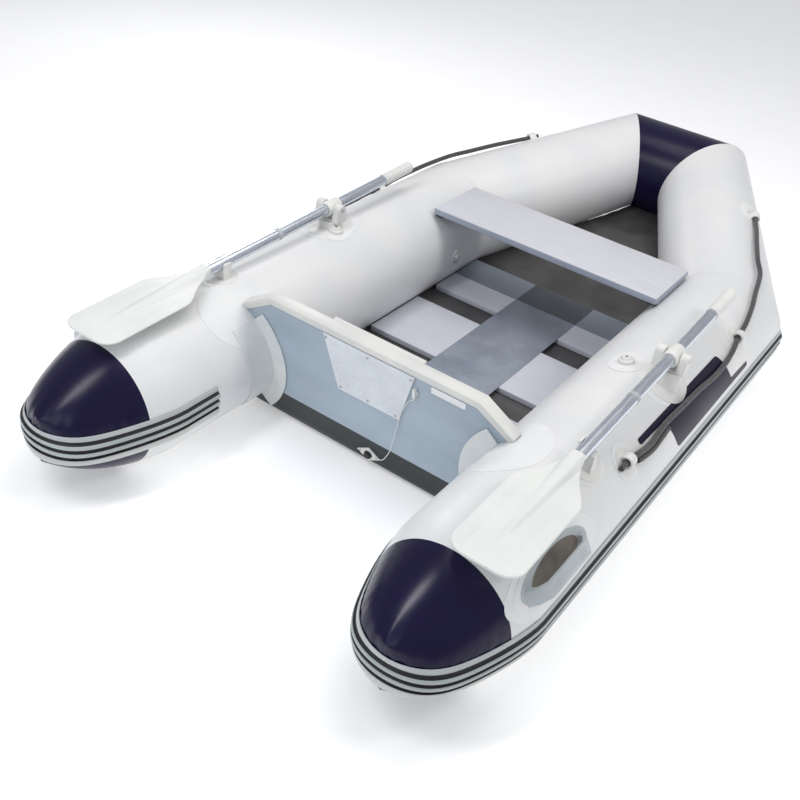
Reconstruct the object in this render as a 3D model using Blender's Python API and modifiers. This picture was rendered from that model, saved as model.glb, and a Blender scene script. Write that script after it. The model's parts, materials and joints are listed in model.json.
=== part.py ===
"""Inflatable tender: PVC tubes, raked plywood transom, slatted floor, thwart and a pair of stowed oars.

Metres, +Z up, +Y towards the bow, +X to starboard. The tubes rest on Z = 0 and the origin is the centre
of the footprint. Stations along the boat are measured forward from the foot of the transom's aft face.
"""
import math

import bmesh
import bpy
from mathutils import Matrix, Vector

# Driving sizes of the hull
TUBE_R = 0.175
HALF_SPACING = 0.487
TUBE_WALL = 0.002
KINK_STATION = 1.1412
BOW_CORNER = Vector((0.1385, 1.7845, TUBE_R + 0.1407))
BOW_R = TUBE_R - 0.0176
TAPER_STATION = -0.300
CONE_SEAM_STATION = -0.392
CONE_TIP_STATION = -0.583
CONE_TAPER = 0.50
CONE_TOE = 0.003
CONE_TIP_HALF_HEIGHT = 0.062
CONE_TIP_Z = TUBE_R - 0.002
RING_SIDES = 40
CONE_SHARES = (0.50, 0.63, 0.75, 0.84, 0.90, 0.945, 0.973, 0.990, 0.998)

# Clearances
GAP = 0.0003
FIT = 0.0006
SHEET_CLEAR = 0.0015

# Rub strake: height each side of its middle, and how far its ribs stand out
STRAKE_DROP = 0.010
STRAKE_HALF = 0.0425
STRAKE_RIB = 0.010
STRAKE_GROOVE = 0.004
STRAKE_EDGE = 0.003
STRAKE_INNER_END = -0.190
SLANT_STEPS = 4

# Floor
SLAT_TOP = 0.0671
SLAT_T = 0.018
SLATS = {"aft": (0.140, 0.392), "middle": (0.4988, 0.7488), "forward": (0.8533, 1.1050)}
BOTTOM_T = 0.002
STRIP_HALF = 0.1077
STRIP_T = 0.0015
STRIP_END = 0.9664

# Transom, raked aft at the top
RAKE = math.atan(0.1638)
TRANSOM_AFT = 0.0433
TRANSOM_T = 0.028
TRANSOM_FOOT_Z = 0.0152
TRANSOM_TOP_Z = 2 * TUBE_R + 0.0380
TRANSOM_FLAT_HALF = HALF_SPACING - 0.181
CHAMFER_END_HALF = HALF_SPACING - 0.087
CHAMFER_END_Z = TRANSOM_TOP_Z - 0.060
TRIM_OVER = 0.004
TRIM_LEG = 0.014
TRIM_WALL = 0.003
PAD_TOP_HALF = 0.1337
PAD_FOOT_HALF = 0.0923
PAD_TOP_Z = TRANSOM_TOP_Z - 0.0160
PAD_FOOT_Z = 0.2160
PAD_T = 0.005
INNER_PAD_TOP_Z = TRANSOM_TOP_Z + 0.0022
INNER_PAD_T = 0.014
HOLDER_WIDE = 0.044
HOLDER_T = 0.004
HOLDER_SKIRT = 0.085
HOLDER_FROM = 135
HOLDER_TO = 225

# Thwart
THWART = (0.8214, 1.0590)
THWART_T = 0.020
THWART_INSET = 0.112
THWART_HALF = HALF_SPACING - THWART_INSET
THWART_FOOT = 0.030
THWART_FOOT_DEPTH = 0.0089
THWART_REST = TUBE_R + math.sqrt(TUBE_R ** 2 - (THWART_INSET - FIT) ** 2)
THWART_TOP = THWART_REST + THWART_FOOT_DEPTH + THWART_T

# Oars: stations are along the shaft from the pivot, forward positive
SIDES = {"port": -1, "starboard": 1}
OAR_X = {"port": HALF_SPACING + 0.018, "starboard": HALF_SPACING + 0.068}
OAR_STATION = 0.465
OAR_Z = 2 * TUBE_R + 0.0565
OAR_SLOPE = math.radians(2.2)
SHAFT_R = 0.015
SHAFT_WALL = 0.0015
SHAFT_JOINT = -0.235
SPIGOT = 0.070
GRIP_START = 0.248
GRIP_END = 0.387
GRIP_R = SHAFT_R + 0.0025
COLLAR_HALF = 0.0275
COLLAR_R = SHAFT_R + 0.0055
TRUNNION_R = 0.006
BUTTON_STATION = -0.212
BUTTON_R = 0.0034
BUTTON_PROUD = 0.0028
BLADE_SOCKET = -0.500
BLADE_SHOULDER = -0.635
BLADE_END = -0.888
BLADE_HALF = 0.0790
BLADE_T = 0.006
BLADE_CORNER = 0.040
SPINE_END = -0.820

# Rowlock and shaft clip
FORK_FLOOR_Z = 2 * TUBE_R + 0.0225
FORK_FLOOR_T = 0.005
FORK_HALF_Y = 0.020
CHEEK_IN = COLLAR_R + 0.0010
CHEEK_OUT = CHEEK_IN + 0.0205
PIN_R = 0.0075
PIN_DEEP = 0.016
PEDESTAL_R = 0.036
PATCH_T = 0.0022
CLIP_STATION = 0.022
CLIP_HALF_Y = 0.0125
CLIP_WALL = 0.0055

# Grab line and its eyes: (station, angle up from the outboard side)
LINE_R = 0.0072
EYE_BORE_R = LINE_R + 0.0034
EYE_PLACES = {"aft": (0.140, 46.3), "middle": (0.858, 47.1)}
BOW_EYE_SHARE = 0.50
BOW_EYE_ANGLE = 55.0

# Carry handle, on the outboard side
HANDLE_STATION = -0.225
HANDLE_ANGLE = 32.0
HANDLE_HALF = 0.105
HANDLE_RISE = 0.034
HANDLE_T = 0.007
HANDLE_WIDE = 0.032

# Valves and inner D-rings
VALVE_STATION = 0.130
VALVE_Z = TUBE_R + 0.025
VALVE_R = 0.030
RING_STATION = 0.891
RING_Z = TUBE_R - 0.003
RING_WIRE = 0.0022
RING_HALF = 0.015

# Bailer and its lanyard
DRAIN_Z = 0.040
DRAIN_HALF_WIDE = 0.036
DRAIN_HALF_TALL = 0.022
DRAIN_T = 0.004
PLUG_R = 0.011
CLEAT_X = 0.136
CLEAT_Z = TRANSOM_TOP_Z - 0.060
LANYARD_R = 0.0012


COLOURS = {
    "white_pvc": ((0.82, 0.83, 0.83), 0.45, 0.0),
    "navy_pvc": ((0.011, 0.007, 0.035), 0.30, 0.0),
    "grey_pvc": ((0.11, 0.105, 0.11), 0.6, 0.0),
    "strake": ((0.55, 0.60, 0.60), 0.5, 0.0),
    "transom_paint": ((0.33, 0.42, 0.50), 0.5, 0.0),
    "cream_plastic": ((0.78, 0.77, 0.72), 0.45, 0.0),
    "slat": ((0.62, 0.63, 0.68), 0.4, 0.0),
    "strip": ((0.22, 0.235, 0.26), 0.6, 0.0),
    "thwart_board": ((0.72, 0.71, 0.76), 0.4, 0.0),
    "aluminium": ((0.75, 0.78, 0.82), 0.25, 1.0),
    "white_plastic": ((0.86, 0.86, 0.84), 0.4, 0.0),
    "line": ((0.09, 0.09, 0.095), 0.85, 0.0),
    "stainless": ((0.6, 0.6, 0.6), 0.25, 1.0),
}


def strake_profile():
    """(height above the tube's widest line, stand-off) round the moulding: the ribs, then the glued back."""
    rib = STRAKE_RIB
    groove = STRAKE_GROOVE
    half = STRAKE_HALF
    front = [
        (-half, STRAKE_EDGE),
        (-0.88 * half, 0.8 * rib),
        (-0.66 * half, rib),
        (-0.42 * half, rib),
        (-0.36 * half, groove),
        (-0.28 * half, groove),
        (-0.22 * half, rib),
        (0.10 * half, rib),
        (0.16 * half, groove),
        (0.24 * half, groove),
        (0.30 * half, rib),
        (0.62 * half, 0.9 * rib),
        (0.72 * half, 0.35 * rib),
        (half, STRAKE_EDGE),
    ]
    backs = 6
    back = [(half - 2 * half * i / backs, FIT) for i in range(backs + 1)]
    return [(height - STRAKE_DROP, out) for height, out in front + back]


# The strake is the outermost thing at both ends, so it centres the boat
LENGTH_AFT = -CONE_TIP_STATION + STRAKE_RIB
LENGTH_FORWARD = BOW_CORNER.y + max(
    (BOW_R + out) * math.sqrt(1 - (height / BOW_R) ** 2) for height, out in strake_profile()
)
Y0 = -(LENGTH_FORWARD - LENGTH_AFT) / 2


def clear_scene():
    for obj in list(bpy.data.objects):
        bpy.data.objects.remove(obj, do_unlink=True)


def new_collection(name):
    made = bpy.data.collections.new(name)
    bpy.context.scene.collection.children.link(made)
    return made


def material(name):
    """The Principled material of a finish, made once."""
    if name in bpy.data.materials:
        return bpy.data.materials[name]
    colour, roughness, metallic = COLOURS[name]
    made = bpy.data.materials.new(name)
    made.use_nodes = True
    shader = made.node_tree.nodes["Principled BSDF"]
    shader.inputs["Base Color"].default_value = (*colour, 1.0)
    shader.inputs["Roughness"].default_value = roughness
    shader.inputs["Metallic"].default_value = metallic
    made.diffuse_color = (*colour, 1.0)
    return made


def add_object(name, data, finish=None, into=None):
    obj = bpy.data.objects.new(name, data)
    (into or PARTS).objects.link(obj)
    if finish:
        data.materials.append(material(finish))
    return obj


def as_cutter(obj):
    obj.hide_render = True
    obj.display_type = "WIRE"
    return obj


def at(station, x=0.0, z=0.0):
    return Vector((x, station + Y0, z))


# ---------------------------------------------------------------- shapes
def mesh_from(name, build):
    """A mesh made by a function that fills a bmesh."""
    bm = bmesh.new()
    build(bm)
    bmesh.ops.recalc_face_normals(bm, faces=bm.faces)
    mesh = bpy.data.meshes.new(name)
    bm.to_mesh(mesh)
    bm.free()
    return mesh


def loft(name, rings, closed=False):
    """A skin through rings of equal count. Closed joins the last ring to the first, else both are capped."""

    def build(bm):
        rows = [[bm.verts.new(point) for point in ring] for ring in rings]
        count = len(rows[0])
        pairs = list(zip(rows, rows[1:]))
        if closed:
            pairs.append((rows[-1], rows[0]))
        for low, high in pairs:
            for i in range(count):
                j = (i + 1) % count
                bm.faces.new((low[i], low[j], high[j], high[i]))
        if not closed:
            bm.faces.new(rows[0])
            bm.faces.new(rows[-1])

    return mesh_from(name, build)


def cup(name, outer, inner):
    """A shell closed at its far end: outer and inner rings run from the rim to the tip."""

    def build(bm):
        skins = [[[bm.verts.new(point) for point in ring] for ring in rings] for rings in (outer, inner)]
        count = len(skins[0][0])
        pairs = [(skins[0][0], skins[1][0])]
        for skin in skins:
            pairs += list(zip(skin, skin[1:]))
            bm.faces.new(skin[-1])
        for low, high in pairs:
            for i in range(count):
                j = (i + 1) % count
                bm.faces.new((low[i], low[j], high[j], high[i]))

    return mesh_from(name, build)


def ellipse_points(wide, tall, sides):
    turn = 2 * math.pi / sides
    return [(wide * math.cos(i * turn), tall * math.sin(i * turn)) for i in range(sides)]


def arc(centre, radius, start, stop, steps):
    """Points on an arc, in degrees."""
    found = []
    for i in range(steps + 1):
        a = math.radians(start + (stop - start) * i / steps)
        found.append((centre[0] + radius * math.cos(a), centre[1] + radius * math.sin(a)))
    return found


def plate(name, outline, thick, matrix=Matrix.Identity(4)):
    """A flat outline with a thickness each side of its plane, as a mesh."""
    curve = bpy.data.curves.new(name, "CURVE")
    curve.dimensions = "2D"
    curve.fill_mode = "BOTH"
    curve.extrude = thick / 2
    spline = curve.splines.new("POLY")
    spline.points.add(len(outline) - 1)
    for point, (x, y) in zip(spline.points, outline):
        point.co = (x, y, 0.0, 1.0)
    spline.use_cyclic_u = True
    return mesh_of_curve(name, curve, matrix)


def mesh_of_curve(name, curve, matrix=Matrix.Identity(4)):
    """A curve's evaluated mesh with its caps welded on."""
    holder = bpy.data.objects.new(name + "_curve", curve)
    CUTTERS.objects.link(holder)
    bpy.context.view_layer.update()
    graph = bpy.context.evaluated_depsgraph_get()
    mesh = bpy.data.meshes.new_from_object(holder.evaluated_get(graph))
    bpy.data.objects.remove(holder, do_unlink=True)
    bm = bmesh.new()
    bm.from_mesh(mesh)
    bmesh.ops.remove_doubles(bm, verts=bm.verts, dist=0.00001)
    bmesh.ops.recalc_face_normals(bm, faces=bm.faces)
    bmesh.ops.transform(bm, matrix=matrix, verts=bm.verts)
    bm.to_mesh(mesh)
    bm.free()
    mesh.materials.clear()
    return mesh


def box(name, low, high, matrix=Matrix.Identity(4)):
    middle = (Vector(low) + Vector(high)) / 2
    size = Vector(high) - Vector(low)

    def build(bm):
        place = matrix @ Matrix.Translation(middle) @ Matrix.Diagonal((*size, 1.0))
        bmesh.ops.create_cube(bm, size=1.0, matrix=place)

    return mesh_from(name, build)


def rod(name, low_r, high_r, low, high, sides=24, squash=1.0, matrix=Matrix.Identity(4)):
    """A cylinder or cone along local Z from low to high, squashed along local X."""

    def build(bm):
        place = matrix @ Matrix.Translation((0, 0, (low + high) / 2)) @ Matrix.Diagonal((squash, 1, 1, 1))
        bmesh.ops.create_cone(
            bm, cap_ends=True, segments=sides, radius1=low_r, radius2=high_r, depth=high - low, matrix=place
        )

    return mesh_from(name, build)


def turned(name, profile, finish, steps=24, parent=None, place=Matrix.Identity(4), closed=False):
    """A turned piece: (radius, height) pairs down the outer side, turned about local Z."""
    mesh = bpy.data.meshes.new(name)
    points = [(r, 0.0, z) for r, z in profile]
    edges = [(i, i + 1) for i in range(len(points) - 1)]
    if closed:
        edges.append((len(points) - 1, 0))
    mesh.from_pydata(points, edges, [])
    obj = add_object(name, mesh, finish)
    screw = obj.modifiers.new("Turn", "SCREW")
    screw.axis = "Z"
    screw.steps = steps
    screw.render_steps = steps
    screw.use_merge_vertices = True
    screw.merge_threshold = 0.00001
    screw.use_smooth_shade = True
    obj.parent = parent
    obj.matrix_local = place
    return obj


def sleeve(inner, outer, low, high):
    """The closed profile of a tube wall."""
    return [(outer, high), (outer, low), (inner, low), (inner, high)]


def boolean(obj, other, operation="DIFFERENCE"):
    cut = obj.modifiers.new(operation.title(), "BOOLEAN")
    cut.operation = operation
    cut.object = other
    cut.solver = "EXACT"


def helper(name, mesh, parent=None):
    obj = as_cutter(add_object(name, mesh, into=CUTTERS))
    obj.parent = parent
    return obj


def smooth(obj):
    obj.data.shade_smooth()
    obj.data.set_sharp_from_angle(angle=math.radians(35))


# ---------------------------------------------------------------- tube geometry
def tube_stations(side):
    """The white side tube's sections forward of the taper: centre, direction, mitre normal, radius."""
    kink = at(KINK_STATION, side * HALF_SPACING, TUBE_R)
    corner = at(BOW_CORNER.y, side * BOW_CORNER.x, BOW_CORNER.z)
    ahead = Vector((0, 1, 0))
    slant = (corner - kink).normalized()
    across = Vector((-side, 0, 0))
    taper = at(TAPER_STATION, side * HALF_SPACING, TUBE_R)
    return [
        (taper, ahead, ahead, TUBE_R),
        (kink, ahead, (ahead + slant).normalized(), TUBE_R),
        (corner, slant, (slant + across).normalized(), BOW_R),
    ]


def spokes(station, side):
    """The outboard and upward directions of a section."""
    along = station[1]
    out = Vector((along.y, -along.x, 0)).normalized() * side
    return out, out.cross(along) * side


def ring_point(station, side, angle, extra=0.0, shift=0.0):
    """A point of a mitred section. The angle is in degrees, up from the outboard side."""
    centre, along, mitre, radius = station
    out, up = spokes(station, side)
    reach = radius + extra
    a = math.radians(angle)
    spoke = out * (reach * math.cos(a)) + up * (reach * math.sin(a))
    slide = -spoke.dot(mitre) / along.dot(mitre)
    return centre + spoke + along * (slide + shift)


def ring(station, side, extra=0.0, shift=0.0):
    return [ring_point(station, side, i * 360 / RING_SIDES, extra, shift) for i in range(RING_SIDES)]


def stern_shape(share):
    """Half width, half height, middle height and station of the tapered stern, at a share of it."""
    wide = TUBE_R * (1 - CONE_TAPER * share ** 1.5) * math.sqrt(1 - share ** 12)
    drop = share ** 2
    tall = TUBE_R - (TUBE_R - CONE_TIP_HALF_HEIGHT) * drop
    middle = TUBE_R + (CONE_TIP_Z - TUBE_R) * drop
    return wide, tall, middle, TAPER_STATION + (CONE_TIP_STATION - TAPER_STATION) * share


def stern_x(side, share):
    """The tapered stern's middle, which toes inboard towards its tip."""
    return side * (HALF_SPACING - CONE_TOE * share ** 2)


def seam_share():
    return (TAPER_STATION - CONE_SEAM_STATION) / (TAPER_STATION - CONE_TIP_STATION)


def stern_ring(side, share, extra=0.0, shift=0.0):
    wide, tall, middle, station = stern_shape(share)
    return [
        at(station + shift, stern_x(side, share) + side * x, middle + z)
        for x, z in ellipse_points(wide + extra, tall + extra, RING_SIDES)
    ]


def side_rings(side, extra):
    """Sections of the white side tube from its cone seam to the bow seam."""
    seam = seam_share()
    rings = [stern_ring(side, seam, extra, GAP / 2), stern_ring(side, seam / 2, extra)]
    stations = tube_stations(side)
    rings += [ring(stations[0], side, extra), ring(stations[1], side, extra)]
    rings.append(ring(stations[2], side, extra, -GAP))
    return rings


def side_tube(word, side):
    outer = side_rings(side, 0.0)
    inner = side_rings(side, -TUBE_WALL)
    name = f"{word}_side_tube"
    smooth(add_object(name, loft(name, outer + inner[::-1], closed=True), "white_pvc"))
    clear = loft(f"{word}_tube_clearance", side_rings(side, GAP))
    return helper(f"{word}_tube_clearance", clear)


def stern_cone(word, side):
    seam = seam_share()
    shares = [seam, *CONE_SHARES]
    outer = [stern_ring(side, s, 0.0, -GAP / 2 if s == seam else 0.0) for s in shares]
    inner = [stern_ring(side, s, -TUBE_WALL, -GAP / 2 if s == seam else TUBE_WALL) for s in shares]
    name = f"{word}_stern_cone"
    smooth(add_object(name, cup(name, outer, inner), "navy_pvc"))


def bow_station(side):
    """The section where the bow tube meets a side tube, seen from the bow tube."""
    corner, slant, mitre, radius = tube_stations(side)[2]
    return corner, Vector((-side, 0, 0)), mitre, radius


def bow_tube():
    """Both ends use the starboard sense of turning, so the section keeps its order across the bow."""
    starboard = bow_station(1)
    corner, _, mitre, radius = bow_station(-1)
    port = (corner, Vector((-1, 0, 0)), mitre, radius)
    outer = [ring(starboard, 1, 0.0, GAP), ring(port, 1, 0.0, -GAP)]
    inner = [ring(starboard, 1, -TUBE_WALL, GAP), ring(port, 1, -TUBE_WALL, -GAP)]
    smooth(add_object("bow_tube", loft("bow_tube", outer + inner[::-1], closed=True), "navy_pvc"))


# ---------------------------------------------------------------- rub strake
def strake_ring_round(station, side):
    """The strake's section on a round, mitred section of the tube."""
    radius = station[3]
    return [
        ring_point(station, side, math.degrees(math.asin(height / radius)), out)
        for height, out in strake_profile()
    ]


def strake_ring_slant(side, share):
    """The strake's section a share along the slanting tube, turning slowly to the bow tube's sense."""
    kink, corner = tube_stations(side)[1:]
    bow = bow_station(side)
    out_ward, up_ward = spokes(corner, side)
    points = []
    for height, out in strake_profile():
        spoke = ring_point(bow, side, math.degrees(math.asin(height / BOW_R))) - corner[0]
        last = math.degrees(math.atan2(spoke.dot(up_ward), spoke.dot(out_ward)))
        first = math.degrees(math.asin(height / kink[3]))
        angle = first + (last - first) * share
        points.append(ring_point(kink, side, angle, out).lerp(ring_point(corner, side, angle, out), share))
    return points


def strake_ring_stern(side, share, flank):
    """The strake's section on the tapered stern. flank is 1 outboard, -1 inboard."""
    wide, tall, middle, station = stern_shape(share)
    here = stern_x(side, share)
    away = Vector((0, -1, 0))
    if share < 1:
        step = 0.001
        ahead = stern_shape(share + step)
        run = Vector((stern_x(side, share + step) + side * flank * ahead[0], ahead[3], 0))
        run -= Vector((here + side * flank * wide, station, 0))
        away = Vector((-run.y, run.x, 0)).normalized() * side * flank
    points = []
    for height, out in strake_profile():
        across = wide * math.sqrt(1 - ((TUBE_R + height - middle) / tall) ** 2)
        base = at(station, here + side * flank * across, TUBE_R + height)
        points.append(base + away * max(out, 2 * FIT))
    return points


def rub_strake(word, side):
    wraps = [0.0, seam_share() / 2, seam_share(), *CONE_SHARES, 1.0]
    rings = [
        [at(STRAKE_INNER_END, 0, 0) + p - at(TAPER_STATION, 0, 0) for p in strake_ring_stern(side, 0.0, -1)]
    ]
    rings += [strake_ring_stern(side, s, -1) for s in wraps]
    rings += [strake_ring_stern(side, s, 1) for s in reversed(wraps[:-1])]
    rings += [strake_ring_slant(side, i / SLANT_STEPS) for i in range(SLANT_STEPS)]
    rings.append(strake_ring_round(bow_station(side), side))
    middle = (at(BOW_CORNER.y, 0, BOW_CORNER.z), Vector((-side, 0, 0)), Vector((1, 0, 0)), BOW_R)
    last = strake_ring_round(middle, side)
    rings.append([point + Vector((side * GAP / 2, 0, 0)) for point in last])
    name = f"{word}_rub_strake"
    smooth(add_object(name, loft(name, rings), "strake"))


# ---------------------------------------------------------------- floor
def half_width_at(height, clear):
    """Half the gap between the side tubes at a height above the ground."""
    return HALF_SPACING - math.sqrt(TUBE_R ** 2 - (TUBE_R - height) ** 2) - clear


def hull_bottom():
    """The fabric bottom: flat under the slats, rising to the bow."""
    top = SLAT_TOP - SLAT_T - GAP
    low = top - BOTTOM_T
    angle = -180 + math.degrees(math.asin((TUBE_R - top) / TUBE_R))
    start = TRANSOM_AFT + TRANSOM_T / math.cos(RAKE) - math.tan(RAKE) * low + SHEET_CLEAR
    width = half_width_at(top, SHEET_CLEAR)
    stations = tube_stations(1)
    edges = [at(start, width, low)]
    for station, inset in ((stations[1], SHEET_CLEAR), (stations[2], 2 * SHEET_CLEAR)):
        point = ring_point(station, 1, angle, inset)
        edges.append(Vector((point.x - inset, point.y - inset, point.z - BOTTOM_T)))
    edges[1].z = low
    rings = []
    for edge in edges:
        up = Vector((0, 0, BOTTOM_T))
        mirrored = Vector((-edge.x, edge.y, edge.z))
        rings.append([mirrored, edge, edge + up, mirrored + up])
    add_object("hull_bottom", loft("hull_bottom", rings), "grey_pvc")


def floor_slats():
    half = half_width_at(SLAT_TOP, 2 * SHEET_CLEAR)
    for word, (start, stop) in SLATS.items():
        name = f"floor_slat_{word}"
        mesh = box(name, at(start, -half, SLAT_TOP - SLAT_T), at(stop, half, SLAT_TOP))
        add_object(name, mesh, "slat")
    start = SLATS["aft"][0]
    low = SLAT_TOP + GAP
    mesh = box("floor_strip", at(start, -STRIP_HALF, low), at(STRIP_END, STRIP_HALF, low + STRIP_T))
    add_object("floor_centre_strip", mesh, "strip")


# ---------------------------------------------------------------- transom
def transom_frame(depth=0.0):
    """Local X to starboard, Y up the raked board, Z aft, from the aft face's foot; depth goes forward."""
    foot = at(TRANSOM_AFT - math.tan(RAKE) * TRANSOM_FOOT_Z, 0, TRANSOM_FOOT_Z)
    turn = Matrix.Rotation(math.pi / 2 + RAKE, 4, "X")
    return Matrix.Translation(foot) @ turn @ Matrix.Translation((0, 0, -depth))


def up_board(z):
    """Distance up the board's face for a height above the ground."""
    return (z - TRANSOM_FOOT_Z) / math.cos(RAKE)


def transom_outline(grow=0.0, foot=0.0):
    top = up_board(TRANSOM_TOP_Z) + grow
    side = up_board(CHAMFER_END_Z)
    lift = grow * 1.1
    return [
        (-CHAMFER_END_HALF, foot),
        (CHAMFER_END_HALF, foot),
        (CHAMFER_END_HALF, side + lift),
        (TRANSOM_FLAT_HALF + grow * 0.4, top),
        (-TRANSOM_FLAT_HALF - grow * 0.4, top),
        (-CHAMFER_END_HALF, side + lift),
    ]


def transom(clearances, rooms):
    middle = transom_frame(TRANSOM_T / 2)
    board = add_object(
        "transom_board", plate("transom_board", transom_outline(), TRANSOM_T, middle), "transom_paint"
    )
    trim_depth = TRANSOM_T + 2 * TRIM_WALL
    band = transom_outline(TRIM_OVER + GAP, up_board(TRANSOM_TOP_Z) - 0.2)
    trim = add_object(
        "transom_top_trim", plate("transom_top_trim", band, trim_depth, middle), "cream_plastic"
    )
    slot = plate("trim_slot", transom_outline(GAP), TRANSOM_T + 2 * GAP, middle)
    below = plate("trim_below", transom_outline(-TRIM_LEG, -0.1), 3 * TRANSOM_T, middle)
    boolean(trim, helper("trim_slot", slot))
    boolean(trim, helper("trim_below", below))
    for clearance in clearances:
        boolean(board, clearance)
        boolean(trim, clearance)
    for room in rooms:
        boolean(trim, room)


def pad_outline(top_half, top_z, foot_half, foot_z):
    top, foot = up_board(top_z), up_board(foot_z)
    return [(-foot_half, foot), (foot_half, foot), (top_half, top), (-top_half, top)]


def motor_pads():
    outline = pad_outline(PAD_TOP_HALF, PAD_TOP_Z, PAD_FOOT_HALF, PAD_FOOT_Z)
    mesh = plate("outer_motor_pad", outline, PAD_T, transom_frame(-PAD_T / 2 - GAP))
    add_object("outer_motor_pad", mesh, "cream_plastic")
    outline = pad_outline(PAD_TOP_HALF, INNER_PAD_TOP_Z, PAD_FOOT_HALF, PAD_FOOT_Z)
    depth = TRANSOM_T + TRIM_WALL + GAP + INNER_PAD_T / 2
    mesh = plate("inner_motor_pad", outline, INNER_PAD_T, transom_frame(depth))
    add_object("inner_motor_pad", mesh, "cream_plastic")


def holder_rings(side, grow=0.0):
    """Sections of the angle round the tube, its flange against the board's aft face."""
    near = TUBE_R + GAP + FIT
    section = [
        (near - grow, grow),
        (near + HOLDER_WIDE + grow, grow),
        (near + HOLDER_WIDE + grow, -HOLDER_T - grow),
        (near + PATCH_T + grow, -HOLDER_T - grow),
        (near + PATCH_T + grow, -HOLDER_SKIRT - grow),
        (near - grow, -HOLDER_SKIRT - grow),
    ]
    steps = round((HOLDER_TO - HOLDER_FROM) * RING_SIDES / 360)
    rings = []
    for i in range(steps + 1):
        angle = math.radians(HOLDER_FROM + (HOLDER_TO - HOLDER_FROM) * i / steps)
        points = []
        for reach, back in section:
            x = side * (HALF_SPACING + reach * math.cos(angle))
            z = TUBE_R + reach * math.sin(angle)
            points.append(at(TRANSOM_AFT - math.tan(RAKE) * z - 2 * GAP + back, x, z))
        rings.append(points)
    return rings


def transom_holder(word, side):
    """A PVC angle round the tube: a flange against the board's aft face and a skirt glued along the tube."""
    name = f"{word}_transom_holder"
    smooth(add_object(name, loft(name, holder_rings(side)), "white_pvc"))
    return helper(name + "_room", loft(name + "_room", holder_rings(side, 2 * GAP)))


def bailer():
    """A diamond drain flange low on the board with a pull-out plug, and a cleat above for its lanyard."""
    foot = up_board(DRAIN_Z)
    tall, wide = DRAIN_HALF_TALL, DRAIN_HALF_WIDE
    outline = [(-wide, foot), (0, foot - tall), (wide, foot), (0, foot + tall)]
    mesh = plate("drain_flange", outline, DRAIN_T, transom_frame(-DRAIN_T / 2 - GAP))
    flange = add_object("drain_flange", mesh, "white_plastic")
    centre = Matrix.Translation((0, foot, 0))
    bore = rod("drain_bore", PLUG_R + FIT, PLUG_R + FIT, -0.01, 0.02, matrix=transom_frame() @ centre)
    boolean(flange, helper("drain_bore", bore))
    low = 2 * GAP
    shape = [(0, low + 0.012), (PLUG_R * 0.8, low + 0.012), (PLUG_R, low + 0.009), (PLUG_R, low), (0, low)]
    turned("drain_plug", shape, "white_plastic", 20, None, transom_frame() @ centre)

    high = up_board(CLEAT_Z)
    spot = transom_frame() @ Matrix.Translation((CLEAT_X, high, 0))
    base = rod("cleat_base", 0.008, 0.008, GAP, 0.004, 20, 1.0, spot)
    cleat = add_object("lanyard_cleat", base, "white_plastic")
    post = box("cleat_post", (-0.004, -0.013, GAP), (0.004, 0.013, 0.010), spot)
    boolean(cleat, helper("cleat_post", post), "UNION")


def transom_point(x, z, out):
    """A point standing off the transom's aft face."""
    return transom_frame() @ Vector((x, up_board(z), out))


def smooth_route(points, spacing):
    """Points at an even spacing along a Catmull-Rom curve through the given ones."""
    ends = [points[0] * 2 - points[1], *points, points[-1] * 2 - points[-2]]
    fine = []
    for a, b, c, d in zip(ends, ends[1:], ends[2:], ends[3:]):
        for i in range(24):
            t = i / 24
            square = (2 * a - 5 * b + 4 * c - d) * t ** 2
            cube = (3 * b - a - 3 * c + d) * t ** 3
            fine.append(0.5 * (2 * b + (c - a) * t + square + cube))
    fine.append(points[-1])
    total = sum((q - p).length for p, q in zip(fine, fine[1:]))
    count = max(2, round(total / spacing))
    found, walked, target = [fine[0]], 0.0, total / count
    for p, q in zip(fine, fine[1:]):
        walked += (q - p).length
        if walked >= target * len(found) and len(found) < count:
            found.append(q)
    found.append(fine[-1])
    return found


def cord(name, points, radius, spacing, finish):
    curve = bpy.data.curves.new(name, "CURVE")
    curve.dimensions = "3D"
    curve.bevel_depth = radius
    curve.bevel_resolution = 2
    curve.use_fill_caps = True
    route = smooth_route(points, spacing)
    spline = curve.splines.new("POLY")
    spline.points.add(len(route) - 1)
    for point, place in zip(spline.points, route):
        point.co = (*place, 1.0)
    return add_object(name, curve, finish)


def lanyard():
    """(x, height, stand-off) down the transom from the cleat to the drain flange."""
    route = [
        (CLEAT_X, CLEAT_Z - 0.018, 0.006),
        (0.118, 0.290, 0.008),
        (0.100, 0.240, 0.009),
        (0.090, 0.190, 0.009),
        (0.080, 0.140, 0.009),
        (0.069, 0.095, 0.009),
        (0.055, 0.064, 0.009),
        (0.044, 0.050, 0.008),
        (0.033, 0.043, 0.0065),
    ]
    cord("bailer_lanyard", [transom_point(*spot) for spot in route], LANYARD_R, 0.008, "white_plastic")


# ---------------------------------------------------------------- thwart
def thwart():
    """The board and a foot under each end, which wedges it between the tubes."""
    height = THWART_TOP - THWART_T
    mesh = box("thwart", at(THWART[0], -THWART_HALF, height), at(THWART[1], THWART_HALF, THWART_TOP))
    obj = add_object("thwart", mesh, "thwart_board")
    for side in SIDES.values():
        ends = sorted((side * THWART_HALF, side * (THWART_HALF - THWART_FOOT)))
        low = at(THWART[0] + 0.010, ends[0], THWART_REST)
        high = at(THWART[1] - 0.010, ends[1], height + 0.004)
        boolean(obj, helper(f"thwart_foot_{side}", box("thwart_foot", low, high)), "UNION")
    edge = obj.modifiers.new("Edge", "BEVEL")
    edge.width = 0.0025
    edge.segments = 2


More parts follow.
